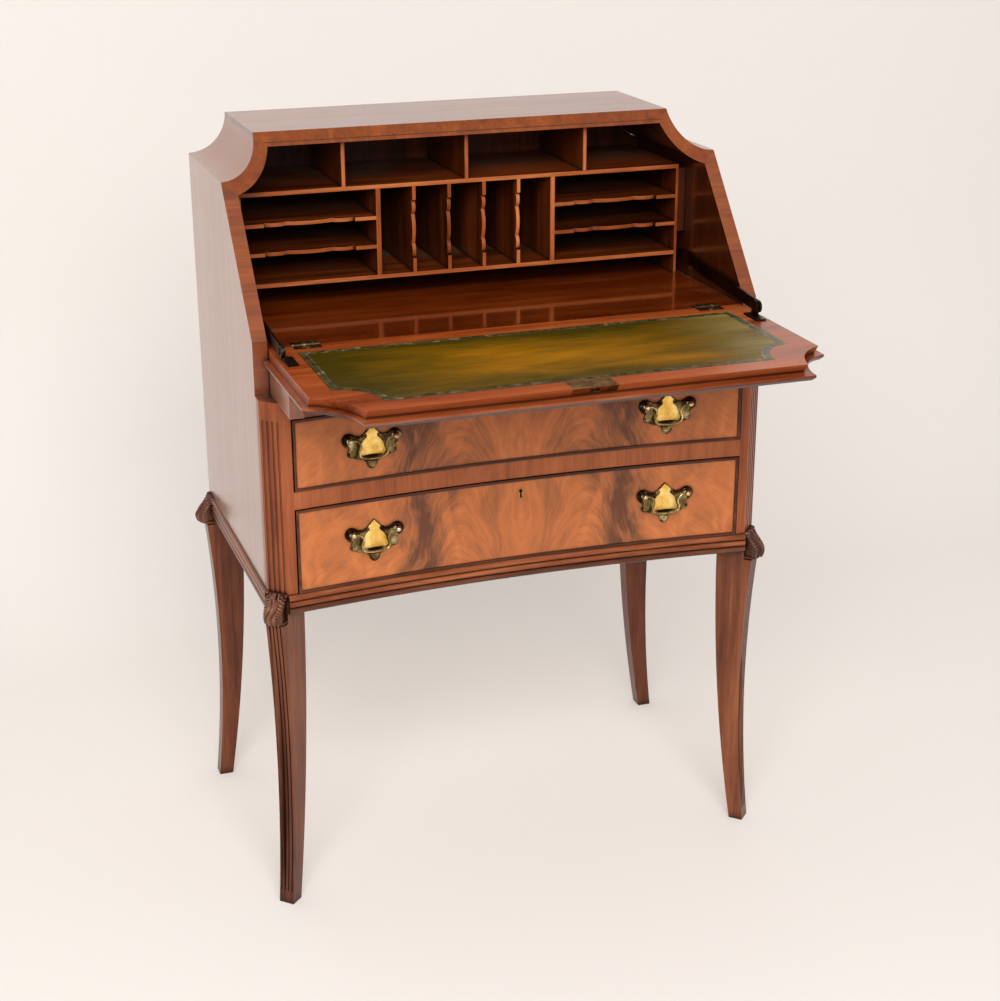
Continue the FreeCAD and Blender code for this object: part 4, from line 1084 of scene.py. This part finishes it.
# Stage and light
floor_colour = (248, 242, 238)
floor_cloud = (245, 239, 234)
floor_paint = (239, 234, 230)
floor_reach = 5.0
wall_distance = 0.95
sweep_radius = 0.55
near_glow = 0.25
fade_start = 2.3
fade_end = 4.2
fill_colour = (0.528, 0.511, 0.486, 1.0)
lamp_colour = (1.0, 0.985, 0.97)
lamp_place = Vector((-0.9, -2.8, 2.6))
lamp_aim = Vector((0.0, 0.0, 0.6))
lamp_size = (2.4, 1.8)
lamp_power = 120


def make_stage():
    """Pale floor that sweeps up into a wall behind the bureau, clear when seen from behind."""
    wall = cad_box[1].y + wall_distance
    sweep = arc(sweep_radius, -quarter_turn, quarter_turn, 12, (wall - sweep_radius, sweep_radius))
    profile = [(-floor_reach, 0.0), *sweep, (wall, floor_reach)]
    shape = bmesh.new()
    rows = [[shape.verts.new((x, y, z)) for y, z in profile] for x in (-floor_reach, floor_reach)]
    for i in range(len(profile) - 1):
        face = shape.faces.new((rows[0][i], rows[1][i], rows[1][i + 1], rows[0][i + 1]))
        face.smooth = True
    look = Look("pale_floor")
    look.tree.nodes.remove(look.shader)
    clouds = look.step(look.noise(look.place, 1.3, 2.0), 0.3, 0.7, 0.0, 0.4)
    lit = look.node("BsdfDiffuse", {"Color": floor_paint})
    glow = look.node("Emission", {"Color": look.mix(clouds, floor_colour, floor_cloud), "Strength": 1.0})
    direct, mirrored, through = [look.node("LightPath", {}, "Is %s Ray" % kind)
                                 for kind in ("Camera", "Glossy", "Transmission")]
    share = look.larger(direct, look.larger(mirrored, through))
    away = look.node("VectorMath", {0: look.place}, "Value", operation="LENGTH")
    strength = look.step(away, fade_start, fade_end, near_glow, 1.0)
    both = look.node("MixShader", {0: share * strength, 1: lit, 2: glow})
    behind = look.node("NewGeometry", {}, "Backfacing")
    sheet = look.node("MixShader", {0: behind, 1: both, 2: look.node("BsdfTransparent", {})})
    look.put(look.tree.nodes["Material Output"].inputs["Surface"], sheet)
    floor = add_mesh("floor", shape, look.material)


def make_light():
    """Even pale surroundings and one large soft lamp in front, above and to the left."""
    world = bpy.data.worlds.new("surroundings")
    bpy.context.scene.world = world
    world.use_nodes = True
    tree = world.node_tree
    seen = tree.nodes.new("ShaderNodeLightPath").outputs["Is Camera Ray"]
    choice = tree.nodes.new("ShaderNodeMix")
    choice.data_type = "RGBA"
    tree.links.new(seen, choice.inputs[0])
    choice.inputs[6].default_value = fill_colour
    choice.inputs[7].default_value = shade(*floor_colour)
    tree.links.new(choice.outputs[2], tree.nodes["Background"].inputs["Color"])
    lamp = bpy.data.lights.new("window", "AREA")
    lamp.shape = "RECTANGLE"
    lamp.size, lamp.size_y = lamp_size
    lamp.energy = lamp_power
    lamp.color = lamp_colour
    turn = (lamp_aim - lamp_place).to_track_quat("-Z", "Y").to_matrix().to_4x4()
    add_object("window", lamp).matrix_world = Matrix.Translation(lamp_place) @ turn


def make_camera():
    """Camera at the photograph's place and angle."""
    turn = Matrix.Rotation(camera_azimuth, 4, "Z") @ Matrix.Rotation(quarter_turn - camera_elevation, 4, "X")
    data = bpy.data.cameras.new("camera")
    data.sensor_fit = "HORIZONTAL"
    data.lens = camera_lens
    camera = add_object("camera", data)
    camera.matrix_world = Matrix.Translation(camera_place) @ turn @ Matrix.Rotation(camera_roll, 4, "Z")
    bpy.context.scene.camera = camera


finishes = make_finishes()
dress_nodes()
for row in ("upper", "lower"):
    for hand in ("left", "right"):
        make_handle(row, hand)
for end in ("front", "back"):
    for hand in ("left", "right"):
        make_knee(end, hand)
make_keyhole()
make_tooling()
make_screws()
make_stage()
make_light()
make_camera()
bpy.context.scene.view_settings.view_transform = "Standard"
